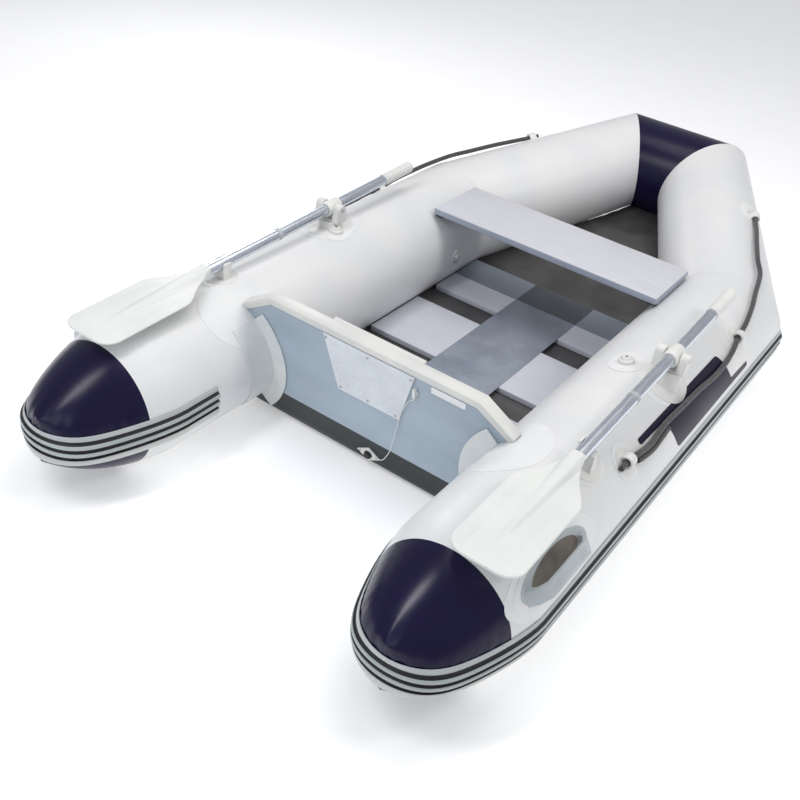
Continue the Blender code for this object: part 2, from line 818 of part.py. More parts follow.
# ---------------------------------------------------------------- oars
def oar_pivot(word, side):
    """An empty at the trunnions: local Y runs up the shaft to the grip."""
    pivot = bpy.data.objects.new(f"{word}_oar_pivot", None)
    PARTS.objects.link(pivot)
    pivot.location = at(OAR_STATION, side * OAR_X[word], OAR_Z)
    pivot.rotation_euler = (OAR_SLOPE, 0, 0)
    return pivot


LENGTHWISE = Matrix.Rotation(-math.pi / 2, 4, "X")


def blade_outline():
    """From the socket round the blade: shoulders, long sides and rounded corners."""
    neck = SHAFT_R
    corner = BLADE_CORNER
    half = BLADE_HALF
    low = BLADE_END + corner
    left = [(-neck, BLADE_SOCKET - 0.008), (-0.42 * half, BLADE_SOCKET - 0.055)]
    left += [(-0.86 * half, BLADE_SHOULDER + 0.018), (-half, BLADE_SHOULDER), (-half, low)]
    left += arc((-half + corner, low), corner, 180, 270, 6)[1:]
    right = [(-x, y) for x, y in reversed(left)]
    return left + right


def oar(word, side, clearance):
    pivot = oar_pivot(word, side)
    wall = SHAFT_WALL
    spigot_r = SHAFT_R - wall - GAP
    spigot_end = SHAFT_JOINT + SPIGOT
    lower = turned(
        f"{word}_oar_lower_shaft",
        [
            (spigot_r, spigot_end),
            (spigot_r, SHAFT_JOINT - GAP),
            (SHAFT_R, SHAFT_JOINT - GAP),
            (SHAFT_R, BLADE_SOCKET + GAP),
            (spigot_r - wall, BLADE_SOCKET + GAP),
            (spigot_r - wall, spigot_end),
        ],
        "aluminium",
        24,
        pivot,
        LENGTHWISE,
        closed=True,
    )
    profile = sleeve(SHAFT_R - wall, SHAFT_R, SHAFT_JOINT, GRIP_START - GAP)
    upper = turned(f"{word}_oar_upper_shaft", profile, "aluminium", 24, pivot, LENGTHWISE, closed=True)
    crown = GRIP_END - 0.006
    grip = [(0, GRIP_END), (0.6 * GRIP_R, GRIP_END), (GRIP_R, crown), (GRIP_R, GRIP_START), (0, GRIP_START)]
    turned(f"{word}_oar_grip", grip, "white_plastic", 24, pivot, LENGTHWISE)

    profile = sleeve(SHAFT_R + GAP, COLLAR_R, -COLLAR_HALF, COLLAR_HALF)
    collar = turned(f"{word}_oar_collar", profile, "white_plastic", 24, pivot, LENGTHWISE, closed=True)
    for sense in (-1, 1):
        stub = rod("stub", TRUNNION_R, TRUNNION_R, SHAFT_R + 0.0025, CHEEK_OUT - 0.004, 16)
        stub.transform(Matrix.Rotation(sense * math.pi / 2, 4, "Y"))
        boolean(collar, helper(f"{word}_trunnion_{sense}", stub, pivot), "UNION")

    name = f"{word}_oar_blade"
    blade = add_object(name, plate(name, blade_outline(), BLADE_T), "white_plastic")
    blade.parent = pivot
    low_r, high_r = SHAFT_R * 0.25, SHAFT_R + 0.002
    spine = rod(f"{word}_spine", low_r, high_r, SPINE_END, BLADE_SOCKET, 20, 1.0, LENGTHWISE)
    boolean(blade, helper(f"{word}_spine", spine, pivot), "UNION")

    inward = Matrix.Translation((0, BUTTON_STATION, 0)) @ Matrix.Rotation(-side * math.pi / 2, 4, "Y")
    name = f"{word}_button_hole"
    bore_r = BUTTON_R + FIT / 2
    hole = helper(name, rod(name, bore_r, bore_r, SHAFT_R * 0.6, SHAFT_R * 1.3, 16, 1.0, inward), pivot)
    boolean(lower, hole)
    boolean(upper, hole)
    top = SHAFT_R + BUTTON_PROUD
    shape = [(0, top), (BUTTON_R * 0.7, top), (BUTTON_R, top - 0.001)]
    shape += [(BUTTON_R, SHAFT_R * 0.66), (0, SHAFT_R * 0.66)]
    turned(f"{word}_snap_button", shape, "stainless", 16, pivot, inward)


# ---------------------------------------------------------------- fittings on the tubes
def tube_skin(word, side, thick):
    """The side tube grown by a patch's thickness, to shape the outer face of patches."""
    name = f"{word}_tube_skin"
    return helper(name, loft(name, side_rings(side, GAP + thick)))


def rowlock(word, side, clearance, skin):
    x = side * OAR_X[word]
    place = Matrix.Translation(at(OAR_STATION, x, 0))
    low, high = 1.4 * TUBE_R, 2.6 * TUBE_R
    patch = rod("patch", 0.078, 0.078, low, high, 28, 0.72, place)
    base = add_object(f"{word}_rowlock_base", patch, "white_plastic")
    boolean(base, skin, "INTERSECT")
    low, high = FORK_FLOOR_Z - 0.0725, FORK_FLOOR_Z - GAP
    puck = rod("puck", PEDESTAL_R * 1.15, PEDESTAL_R, low, high, 28, 1.0, place)
    boolean(base, helper(f"{word}_pedestal", puck), "UNION")
    boolean(base, clearance)
    bore_r = PIN_R + GAP
    bore_low = FORK_FLOOR_Z - PIN_DEEP - 0.001
    bore = rod("bore", bore_r, bore_r, bore_low, FORK_FLOOR_Z + 0.02, 20, 1.0, place)
    boolean(base, helper(f"{word}_rowlock_bore", bore))

    floor_top = FORK_FLOOR_Z + FORK_FLOOR_T
    fork = add_object(
        f"{word}_rowlock_fork",
        box("fork", (-CHEEK_OUT, -FORK_HALF_Y, FORK_FLOOR_Z), (CHEEK_OUT, FORK_HALF_Y, floor_top), place),
        "white_plastic",
    )
    cheek_mid = (CHEEK_IN + CHEEK_OUT) / 2
    cheek_t = CHEEK_OUT - CHEEK_IN
    side_view = Matrix.Rotation(math.pi / 2, 4, "Z") @ Matrix.Rotation(math.pi / 2, 4, "X")
    outline = [(-FORK_HALF_Y, FORK_FLOOR_Z + 0.001), (FORK_HALF_Y, FORK_FLOOR_Z + 0.001)]
    outline += arc((0, OAR_Z), FORK_HALF_Y * 0.85, 0, 180, 8)
    for sense in (-1, 1):
        spot = place @ Matrix.Translation((sense * cheek_mid, 0, 0)) @ side_view
        cheek = plate(f"{word}_cheek", outline, cheek_t, spot)
        boolean(fork, helper(f"{word}_cheek_{sense}", cheek), "UNION")
    pin = rod("pin", PIN_R, PIN_R, FORK_FLOOR_Z - PIN_DEEP, FORK_FLOOR_Z + 0.002, 20, 1.0, place)
    boolean(fork, helper(f"{word}_fork_pin", pin), "UNION")
    across = place @ Matrix.Translation((0, 0, OAR_Z)) @ Matrix.Rotation(math.pi / 2, 4, "Y")
    hole = rod("hole", TRUNNION_R + GAP, TRUNNION_R + GAP, -0.1, 0.1, 16, 1.0, across)
    boolean(fork, helper(f"{word}_trunnion_hole", hole))


def oar_clip(word, side, clearance, skin):
    """A cradle with its finger inboard, so that the shaft can swing out of it."""
    x = side * OAR_X[word]
    place = Matrix.Translation(at(CLIP_STATION, x, 0))
    patch = rod("patch", 0.045, 0.045, 1.4 * TUBE_R, 2.6 * TUBE_R, 28, 0.9, place)
    base = add_object(f"{word}_oar_clip", patch, "white_plastic")
    boolean(base, skin, "INTERSECT")
    shaft_z = OAR_Z + (CLIP_STATION - OAR_STATION) * math.tan(OAR_SLOPE)
    inner = SHAFT_R + 0.0012
    outer = inner + CLIP_WALL
    rim = shaft_z + 0.007
    lip = shaft_z - SHAFT_R - 2 * FIT
    foot = 2 * TUBE_R - 0.03
    outline = [(-outer, foot), (outer, foot), (outer, lip), (0.0, lip)]
    outline += [(x, y) for x, y in arc((0, shaft_z), inner, -90, -180, 6)]
    outline += [(-inner, rim), (-outer, rim)]
    outline = [(x * side, y) for x, y in outline]
    across = Matrix.Rotation(math.pi / 2, 4, "X")
    block = plate("clip", outline, 2 * CLIP_HALF_Y, place @ across)
    boolean(base, helper(f"{word}_clip_block", block), "UNION")
    boolean(base, clearance)


def surface_frame(side, station, angle):
    """On the straight tube: local Z out of the tube, local Y forward, at an angle up from outboard."""
    a = math.radians(angle)
    out = Vector((side * math.cos(a), 0, math.sin(a)))
    ahead = Vector((0, 1, 0))
    across = ahead.cross(out)
    spot = at(station, side * HALF_SPACING, TUBE_R) + out * TUBE_R
    turn = Matrix((across, ahead, out)).transposed().to_4x4()
    return Matrix.Translation(spot) @ turn


def slant_frame(side, share, angle):
    """The same on the slanting part of the side tube, a share of the way to the bow."""
    _, kink, corner = tube_stations(side)
    along = (corner[0] - kink[0]).normalized()
    centre = kink[0].lerp(corner[0], share)
    radius = kink[3] + (corner[3] - kink[3]) * share
    station = (centre, along, along, radius)
    spot = ring_point(station, side, angle)
    out = (spot - centre).normalized()
    across = along.cross(out)
    turn = Matrix((across, along, out)).transposed().to_4x4()
    return Matrix.Translation(spot) @ turn


def rope_eye(name, place, clearance, skin):
    """A round patch with a low saddle that the grab line runs through."""
    eye = add_object(name, rod("patch", 0.034, 0.034, -0.05, 0.03, 24, 1.0, place), "white_plastic")
    boolean(eye, skin, "INTERSECT")
    middle = LINE_R + 2 * FIT
    arch = arc((0, middle), EYE_BORE_R + 0.005, 0, 180, 10)
    outline = [(-EYE_BORE_R - 0.007, -0.02), (EYE_BORE_R + 0.007, -0.02)] + arch
    saddle = plate("saddle", outline, 0.024, place @ Matrix.Rotation(math.pi / 2, 4, "X"))
    boolean(eye, helper(name + "_saddle", saddle), "UNION")
    boolean(eye, clearance)
    way = Matrix.Translation((0, 0, middle)) @ Matrix.Rotation(math.pi / 2, 4, "X")
    bore = rod("eye_bore", EYE_BORE_R, EYE_BORE_R, -0.05, 0.05, 20, 1.0, place @ way)
    boolean(eye, helper(name + "_bore", bore))


def grab_line(word, side, clearance, skin):
    lift = LINE_R + 2 * FIT
    places = {key: surface_frame(side, *spot) for key, spot in EYE_PLACES.items()}
    places["forward"] = slant_frame(side, BOW_EYE_SHARE, BOW_EYE_ANGLE)
    for key, place in places.items():
        rope_eye(f"{word}_{key}_rope_eye", place, clearance, skin)

    def straight(station, angle, off=lift):
        return surface_frame(side, station, angle) @ Vector((0, 0, off))

    def slanted(share, angle, off=lift):
        return slant_frame(side, share, angle) @ Vector((0, 0, off))

    route = [
        straight(0.100, 46.3),
        straight(0.140, 46.3),
        straight(0.180, 45.0, lift + 0.004),
        straight(0.245, 42.6, lift + 0.002),
        straight(0.340, 44.3),
        straight(0.452, 43.0),
        straight(0.548, 41.9),
        straight(0.640, 39.6),
        straight(0.720, 39.8),
        straight(0.790, 43.0, lift + 0.002),
        straight(0.858, 47.1),
        straight(0.925, 51.0, lift + 0.004),
        straight(1.000, 56.5, lift + 0.006),
        straight(1.070, 63.0, lift + 0.008),
        slanted(0.04, 69, lift + 0.009),
        slanted(0.14, 68, lift + 0.008),
        slanted(0.27, 64, lift + 0.006),
        slanted(0.38, 59, lift + 0.003),
        slanted(0.50, 55),
        slanted(0.535, 55),
    ]
    cord(f"{word}_grab_line", route, LINE_R, 0.036, "line")


def carry_handle(word, side, clearance, skin):
    place = surface_frame(side, HANDLE_STATION, HANDLE_ANGLE)
    name = f"{word}_carry_handle"
    handle = add_object(name, rod("patch", 0.150, 0.150, -0.06, 0.03, 32, 0.42, place), "strake")
    boolean(handle, skin, "INTERSECT")
    half, rise, thick = HANDLE_HALF, HANDLE_RISE, HANDLE_T
    outer = [(-half - 0.018, -0.012), (-half, rise * 0.55), (-half + 0.025, rise)]
    outer += [(-x, y) for x, y in reversed(outer)]
    inner = [(half - thick, -0.012), (half - thick - 0.004, rise * 0.45), (half - 0.032, rise - thick)]
    inner += [(-x, y) for x, y in reversed(inner)]
    edge_on = Matrix.Rotation(math.pi / 2, 4, "Z") @ Matrix.Rotation(math.pi / 2, 4, "X")
    arch = plate("arch", outer + inner, HANDLE_WIDE, place @ edge_on)
    boolean(handle, helper(name + "_arch", arch), "UNION")
    boolean(handle, clearance)


def inboard_frame(side, station, height):
    """On the inboard side of the straight tube, at a height above the ground."""
    angle = 180 - math.degrees(math.asin((height - TUBE_R) / TUBE_R))
    return surface_frame(side, station, angle)


def valve(word, side, clearance):
    place = inboard_frame(side, VALVE_STATION, VALVE_Z)
    disc = rod("seat", VALVE_R, VALVE_R, -0.01, 0.005, 28, 1.0, place)
    seat = add_object(f"{word}_valve_seat", disc, "white_plastic")
    boolean(seat, clearance)
    well = rod("well", VALVE_R * 0.62, VALVE_R * 0.62, 0.002, 0.02, 28, 1.0, place)
    boolean(seat, helper(f"{word}_valve_well", well))
    low, top, wide = 0.002 + GAP, 0.013, VALVE_R * 0.62 - FIT
    shape = [(0, top), (wide * 0.9, top), (wide, top - 0.0015), (wide, low), (0, low)]
    turned(f"{word}_valve_cap", shape, "strake", 24, None, place)


def inner_ring(word, side, clearance):
    """A D-ring held by a folded tab on the inboard side."""
    place = inboard_frame(side, RING_STATION, RING_Z)
    name = f"{word}_ring_tab"
    tab = add_object(name, rod("tab", 0.021, 0.021, -0.01, 0.0025, 24, 1.0, place), "white_plastic")
    bar_z = 0.0025 + RING_WIRE + FIT
    reach = RING_WIRE + 0.0028
    block = box("loop", (-reach, -0.008, -0.004), (reach, 0.008, bar_z + reach), place)
    boolean(tab, helper(name + "_loop", block), "UNION")
    boolean(tab, clearance)
    bore_r = RING_WIRE + FIT
    way = place @ Matrix.Translation((0, 0, bar_z)) @ Matrix.Rotation(math.pi / 2, 4, "X")
    bore = rod("ring_bore", bore_r, bore_r, -0.05, 0.05, 16, 1.0, way)
    boolean(tab, helper(name + "_bore", bore))

    curve = bpy.data.curves.new(f"{word}_d_ring", "CURVE")
    curve.dimensions = "3D"
    curve.bevel_depth = RING_WIRE
    curve.bevel_resolution = 2
    down = -1 if place.to_3x3().col[0].z > 0 else 1
    shape = [(-RING_HALF * 0.99, 0.0), (-RING_HALF, 0.006)]
    shape += [(x, y) for x, y in arc((0, 0.008), RING_HALF, 180, 0, 8)]
    shape += [(RING_HALF, 0.006), (RING_HALF * 0.99, 0.0)]
    spline = curve.splines.new("POLY")
    spline.points.add(len(shape) - 1)
    spline.use_cyclic_u = True
    for point, (along, drop) in zip(spline.points, shape):
        point.co = (down * drop, along, 0.0, 1.0)
    obj = add_object(f"{word}_d_ring", mesh_of_curve(f"{word}_d_ring", curve), "stainless")
    obj.matrix_world = place @ Matrix.Translation((0, 0, bar_z))


clear_scene()
PARTS = new_collection("inflatable_dinghy")
CUTTERS = new_collection("cutters")
CUTTERS.hide_render = True

clearances, rooms = {}, {}
for word, side in SIDES.items():
    clearances[word] = side_tube(word, side)
    stern_cone(word, side)
    rub_strake(word, side)
    rooms[word] = transom_holder(word, side)
    patch_skin = tube_skin(word, side, PATCH_T)
    rowlock(word, side, clearances[word], patch_skin)
    oar_clip(word, side, clearances[word], patch_skin)
    oar(word, side, clearances[word])
    grab_line(word, side, clearances[word], patch_skin)
    carry_handle(word, side, clearances[word], patch_skin)
    valve(word, side, clearances[word])
    inner_ring(word, side, clearances[word])
bow_tube()
hull_bottom()
floor_slats()
transom(clearances.values(), rooms.values())
motor_pads()
bailer()
lanyard()
thwart()
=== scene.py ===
import json
import math

import bmesh
import bpy
from mathutils import Matrix, Vector
from mathutils import noise as roughness3d


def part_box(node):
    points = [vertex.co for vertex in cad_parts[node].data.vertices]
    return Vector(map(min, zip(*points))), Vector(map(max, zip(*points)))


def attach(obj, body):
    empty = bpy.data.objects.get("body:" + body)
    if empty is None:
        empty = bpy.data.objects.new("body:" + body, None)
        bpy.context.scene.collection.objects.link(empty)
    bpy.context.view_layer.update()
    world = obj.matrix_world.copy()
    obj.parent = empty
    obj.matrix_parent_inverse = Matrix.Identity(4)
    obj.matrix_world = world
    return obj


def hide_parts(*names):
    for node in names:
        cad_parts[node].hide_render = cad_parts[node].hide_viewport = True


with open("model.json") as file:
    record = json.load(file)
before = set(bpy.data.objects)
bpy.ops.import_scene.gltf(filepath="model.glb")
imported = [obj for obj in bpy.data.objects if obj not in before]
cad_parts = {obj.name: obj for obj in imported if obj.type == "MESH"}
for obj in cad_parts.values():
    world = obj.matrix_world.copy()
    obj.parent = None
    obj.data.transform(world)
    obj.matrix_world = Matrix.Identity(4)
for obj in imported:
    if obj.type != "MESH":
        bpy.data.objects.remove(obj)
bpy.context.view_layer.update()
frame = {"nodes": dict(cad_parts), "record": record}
print("stage: frame loaded,", len(frame["nodes"]), "nodes")

# Sizes shared by everything glued to the tubes, in metres. Stations run forward from the transom's foot.
hull = {
    "tubeRadius": 0.175,
    "halfSpacing": 0.487,
    "kinkStation": 1.1412,
    "bowCorner": (0.1385, 1.7845, 0.3157),
    "bowRadius": 0.1574,
    "taperStation": -0.300,
    "seamStation": -0.392,
    "tipStation": -0.583,
    "coneTaper": 0.50,
    "coneToe": 0.003,
    "tipHalfHeight": 0.062,
    "tipHeight": 0.173,
    "sides": 144,
}

# An oar's places are along its shaft from the pivot, positive toward the grip
oarLook = {
    "x": {"port": 0.505, "starboard": 0.555},
    "station": 0.465,
    "height": 0.4065,
    "slope": math.radians(2.2),
    "shaft": 0.015,
    "socket": -0.500,
    "end": -0.888,
    "half": 0.079,
    "corner": 0.040,
    "spineEnd": -0.820,
    "thick": 0.006,
}

tubeRadius, halfSpacing = hull["tubeRadius"], hull["halfSpacing"]
sideOf = {"port": -1, "starboard": 1}
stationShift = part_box("thwart")[0][1] - 0.8214


def at(station, x=0.0, z=0.0):
    return Vector((x, station + stationShift, z))


def addObject(name, data):
    made = bpy.data.objects.new(name, data)
    bpy.context.scene.collection.objects.link(made)
    return made


# Camera, light and floor
cameraLook = {
    "eye": (-1.6394, 1.0687, 1.6515),
    "target": (0.1036, 0.0284, 0.1895),
    "roll": 8.151,
    "lens": 44.93,
}


def placeCamera():
    eye = at(*cameraLook["eye"])
    target = at(*cameraLook["target"])
    ahead = (target - eye).normalized()
    level = ahead.cross(Vector((0, 0, 1))).normalized()
    upright = level.cross(ahead)
    roll = math.radians(cameraLook["roll"])
    right = level * math.cos(roll) + upright * math.sin(roll)
    up = upright * math.cos(roll) - level * math.sin(roll)
    data = bpy.data.cameras.new("viewpoint")
    data.lens = cameraLook["lens"]
    data.sensor_width = 36
    camera = addObject("viewpoint", data)
    turn = Matrix((right, up, -ahead)).transposed().to_4x4()
    camera.matrix_world = Matrix.Translation(eye) @ turn
    bpy.context.scene.camera = camera


# Lamps: where from, where to, size, power, colour
lamps = {
    "overhead": ((0.2, 0.5, 3.4), (0.0, 0.1, 0.1), (2.6, 2.6), 42, (1.0, 0.985, 0.96)),
    "keyLight": ((2.5, 0.5, 2.9), (0.1, 0.0, 0.1), (0.9, 0.9), 23, (1.0, 0.98, 0.95)),
    "starboardFill": ((3.3, 0.9, 0.9), (0.4, 0.2, 0.2), (1.6, 1.6), 5, (0.7, 0.85, 1.0)),
    "sternFill": ((-0.2, -3.6, 1.7), (0, -0.2, 0.2), (1.8, 1.8), 12, (0.84, 0.92, 1.0)),
    "sternStrip": ((-0.75, -2.15, 2.9), (-0.2, -0.9, 0.2), (0.4, 1.7), 27, (0.97, 0.97, 1.0)),
    "portStrip": ((-3.0, 1.7, 1.9), (0, -0.3, 0.2), (0.8, 0.8), 14, (0.97, 0.97, 1.0)),
}
studio = {
    "room": (0.93, 0.95, 1.0),
    "roomStrength": 0.40,
    "floorSize": 30,
    "floorDrop": 0.0006,
    "floorGlow": 0.30,
}


def addStudio():
    for name, (start, target, size, power, colour) in lamps.items():
        data = bpy.data.lights.new(name, "AREA")
        data.shape = "ELLIPSE"
        data.size, data.size_y = size
        data.energy = power
        data.color = colour
        lamp = addObject(name, data)
        lamp.location = start
        lamp.rotation_euler = (Vector(target) - Vector(start)).to_track_quat("-Z", "Y").to_euler()
    world = bpy.data.worlds.new("room")
    world.use_nodes = True
    background = world.node_tree.nodes["Background"]
    background.inputs["Color"].default_value = (*studio["room"], 1)
    background.inputs["Strength"].default_value = studio["roomStrength"]
    bpy.context.scene.world = world
    bpy.context.scene.view_settings.view_transform = "Standard"


def addFloor():
    bm = bmesh.new()
    bmesh.ops.create_grid(bm, x_segments=8, y_segments=8, size=studio["floorSize"])
    for vert in bm.verts:
        vert.co.z = -studio["floorDrop"]
    mesh = bpy.data.meshes.new("studioFloor")
    bm.to_mesh(mesh)
    bm.free()
    floor = addObject("studioFloor", mesh)
    paper = painted("floorPaper", (0.93, 0.93, 0.93), (0.92, 0.92, 0.92), 0.75)
    shader = paper.node_tree.nodes["Principled BSDF"]
    shader.inputs["Emission Color"].default_value = (1, 1, 1, 1)
    shader.inputs["Emission Strength"].default_value = studio["floorGlow"]
    mesh.materials.append(paper)


# Finishes
# Each row: colour, second colour, roughness, cloud size, grain, bump, gloss
finishes = {
    "whiteFabric": ((0.8, 0.795, 0.785), (0.74, 0.745, 0.75), 0.38, 3, 900, 0.1, 0.5),
    "patchFabric": ((0.83, 0.83, 0.825), (0.77, 0.78, 0.785), 0.42, 9, 900, 0.1, 0.5),
    "holderFabric": ((0.7, 0.72, 0.72), (0.62, 0.645, 0.65), 0.36, 7, 700, 0.08, 0.5),
    "navyFabric": ((0.006, 0.0035, 0.028), (0.008, 0.005, 0.036), 0.23, 5, 800, 0.12, 0.27),
    "navyPanel": ((0.0065, 0.0045, 0.022), (0.009, 0.006, 0.028), 0.36, 6, 800, 0.12, 0.28),
    "bottomFabric": ((0.085, 0.08, 0.08), (0.048, 0.045, 0.046), 0.5, 6, 600, 0.25, 0.5),
    "ribRubber": ((0.36, 0.4, 0.405), (0.42, 0.46, 0.46), 0.4, 6, 500, 0.06, 0.5),
    "bandRubber": ((0.5, 0.525, 0.53), (0.44, 0.465, 0.475), 0.4, 6, 500, 0.06, 0.5),
    "creamRubber": ((0.56, 0.57, 0.55), (0.5, 0.51, 0.5), 0.42, 6, 500, 0.06, 0.5),
    "grooveRubber": ((0.0035, 0.0035, 0.0045), (0.006, 0.006, 0.007), 0.5, 12, 500, 0.05, 0.5),
    "creamPlastic": ((0.74, 0.735, 0.7), (0.67, 0.675, 0.65), 0.36, 8, 350, 0.05, 0.5),
    "padPlastic": ((0.74, 0.78, 0.82), (0.68, 0.72, 0.77), 0.4, 9, 350, 0.06, 0.5),
    "whitePlastic": ((0.8, 0.79, 0.76), (0.74, 0.735, 0.71), 0.34, 10, 300, 0.05, 0.5),
    "bladePlastic": ((0.8, 0.81, 0.78), (0.75, 0.765, 0.74), 0.36, 8, 260, 0.06, 0.5),
    "greyPlastic": ((0.5, 0.53, 0.53), (0.43, 0.46, 0.465), 0.42, 9, 350, 0.08, 0.5),
    "slateStrip": ((0.292, 0.326, 0.388), (0.224, 0.252, 0.306), 0.48, 11, 420, 0.25, 0.5),
    # painted shade: a darker copy of slateStrip for the square under the thwart
    "slateSquare": ((0.082, 0.091, 0.108), (0.063, 0.07, 0.086), 0.48, 11, 420, 0.25, 0.5),
    "handlePlastic": ((0.52, 0.56, 0.58), (0.45, 0.49, 0.51), 0.38, 9, 350, 0.08, 0.5),
    # painted shade: brown for the shade in the hollow under the carry handle's bar
    "hollowBrown": ((0.2, 0.175, 0.145), (0.12, 0.105, 0.088), 0.6, 14, 400, 0.1, 0.5),
    # painted shade: near-black for the shade in slots, holes and under the thwart's ends
    "darkGap": ((0.012, 0.011, 0.012), (0.02, 0.018, 0.02), 0.6, 12, 400, 0.05, 0.5),
}


def linkNoise(tree, coords, scale, detail, stretch=(1, 1, 1)):
    mapping = tree.nodes.new("ShaderNodeMapping")
    mapping.inputs["Scale"].default_value = stretch
    tree.links.new(coords.outputs["Object"], mapping.inputs["Vector"])
    cloud = tree.nodes.new("ShaderNodeTexNoise")
    cloud.inputs["Scale"].default_value = scale
    cloud.inputs["Detail"].default_value = detail
    tree.links.new(mapping.outputs["Vector"], cloud.inputs["Vector"])
    return cloud


def newFinish(name):
    material = bpy.data.materials.new(name)
    material.use_nodes = True
    tree = material.node_tree
    shader = tree.nodes["Principled BSDF"]
    coords = tree.nodes.new("ShaderNodeTexCoord")
    return material, tree, shader, coords


def ramp(tree, source, stops):
    node = tree.nodes.new("ShaderNodeValToRGB")
    elements = node.color_ramp.elements
    while len(elements) < len(stops):
        elements.new(0.5)
    for element, (place, colour) in zip(elements, stops):
        element.position = place
        element.color = (*colour, 1)
    tree.links.new(source, node.inputs["Fac"])
    return node


def bumpFrom(tree, shader, source, strength, distance=0.0004):
    bump = tree.nodes.new("ShaderNodeBump")
    bump.inputs["Strength"].default_value = strength
    bump.inputs["Distance"].default_value = distance
    tree.links.new(source, bump.inputs["Height"])
    tree.links.new(bump.outputs["Normal"], shader.inputs["Normal"])
    return bump


def roughFrom(tree, shader, source, low, high):
    spread = tree.nodes.new("ShaderNodeMapRange")
    spread.inputs["From Min"].default_value = 0.35
    spread.inputs["From Max"].default_value = 0.65
    spread.inputs["To Min"].default_value = low
    spread.inputs["To Max"].default_value = high
    tree.links.new(source, spread.inputs["Value"])
    tree.links.new(spread.outputs["Result"], shader.inputs["Roughness"])


def tinted(tree, coords, shader, scale, detail, stretch, stops):
    cloud = linkNoise(tree, coords, scale, detail, stretch)
    tint = ramp(tree, cloud.outputs["Fac"], stops)
    tree.links.new(tint.outputs["Color"], shader.inputs["Base Color"])
    return cloud.outputs["Fac"]


def painted(name, colour, second, rough, cloudSize=4.0, grain=0, bump=0.0, gloss=0.5):
    material, tree, shader, coords = newFinish(name)
    cloud = tinted(tree, coords, shader, cloudSize, 4.0, (1, 1, 1), [(0.38, second), (0.62, colour)])
    roughFrom(tree, shader, cloud, rough - 0.04, rough + 0.06)
    if grain:
        cells = tree.nodes.new("ShaderNodeTexVoronoi")
        cells.inputs["Scale"].default_value = grain
        tree.links.new(coords.outputs["Object"], cells.inputs["Vector"])
        bumpFrom(tree, shader, cells.outputs["Distance"], bump)
    shader.inputs["Specular IOR Level"].default_value = gloss
    return material


def boardFinish(name, colour, second, rough, along=(1.2, 26, 26)):
    material, tree, shader, coords = newFinish(name)
    grain = tinted(tree, coords, shader, 7.0, 6.0, along, [(0.30, second), (0.68, colour)])
    roughFrom(tree, shader, grain, rough - 0.05, rough + 0.08)
    bumpFrom(tree, shader, grain, 0.10, 0.0005)
    return material


def transomFinish():
    material, tree, shader, coords = newFinish("transomPaint")
    split = tree.nodes.new("ShaderNodeSeparateXYZ")
    tree.links.new(coords.outputs["Object"], split.inputs["Vector"])
    bands = ramp(tree, split.outputs["Z"], [(0.0, (0.024, 0.029, 0.031)), (0.088, (0.40, 0.475, 0.555))])
    bands.color_ramp.interpolation = "CONSTANT"
    cloud = linkNoise(tree, coords, 5.0, 5.0, (1, 1, 2.5))
    shade = ramp(tree, cloud.outputs["Fac"], [(0.35, (0.86, 0.87, 0.88)), (0.65, (1.0, 1.0, 1.0))])
    mix = tree.nodes.new("ShaderNodeMix")
    mix.data_type = "RGBA"
    mix.blend_type = "MULTIPLY"
    mix.inputs["Factor"].default_value = 1.0
    tree.links.new(bands.outputs["Color"], mix.inputs["A"])
    tree.links.new(shade.outputs["Color"], mix.inputs["B"])
    tree.links.new(mix.outputs["Result"], shader.inputs["Base Color"])
    roughFrom(tree, shader, cloud.outputs["Fac"], 0.38, 0.50)
    fine = linkNoise(tree, coords, 160.0, 3.0)
    bumpFrom(tree, shader, fine.outputs["Fac"], 0.08)
    return material


def metalFinish(name, colour, rough, along):
    material, tree, shader, coords = newFinish(name)
    stops = [(0.3, tuple(0.95 * c for c in colour)), (0.7, colour)]
    brushed = tinted(tree, coords, shader, 60.0, 4.0, along, stops)
    shader.inputs["Metallic"].default_value = 1.0
    roughFrom(tree, shader, brushed, rough - 0.03, rough + 0.05)
    bumpFrom(tree, shader, brushed, 0.02, 0.0001)
    return material


def braidFinish():
    material, tree, shader, coords = newFinish("braidedLine")
    stops = [(0.32, (0.014, 0.014, 0.015)), (0.56, (0.055, 0.055, 0.057)), (0.74, (0.24, 0.235, 0.23))]
    fibre = tinted(tree, coords, shader, 420.0, 5.0, (1, 1, 1), stops)
    shader.inputs["Roughness"].default_value = 0.78
    shader.inputs["Sheen Weight"].default_value = 0.35
    bumpFrom(tree, shader, fibre, 0.5, 0.0005)
    return material


paint = {}
for key, row in finishes.items():
    paint[key] = painted(key, *row)
paint["transomPaint"] = transomFinish()
paint["slatBoard"] = boardFinish("slatBoard", (0.64, 0.65, 0.71), (0.58, 0.59, 0.65), 0.34)
paint["slatForward"] = boardFinish("slatForward", (0.235, 0.27, 0.315), (0.19, 0.22, 0.265), 0.36)
paint["thwartBoard"] = boardFinish("thwartBoard", (0.66, 0.655, 0.70), (0.60, 0.60, 0.645), 0.36)
paint["boardEdge"] = boardFinish("boardEdge", (0.40, 0.44, 0.52), (0.33, 0.37, 0.45), 0.36, (2, 60, 60))
paint["aluminium"] = metalFinish("aluminium", (0.74, 0.79, 0.86), 0.27, (8, 0.25, 8))
paint["steel"] = metalFinish("steel", (0.62, 0.62, 0.63), 0.22, (1, 1, 1))
paint["braidedLine"] = braidFinish()
print("stage:", len(paint), "finishes")

placeCamera()
addStudio()
addFloor()


# Making pieces
bodyOf = {}
for body, nodes in frame["record"]["behaviour"]["bodies"].items():
    for node in nodes:
        bodyOf[node] = body
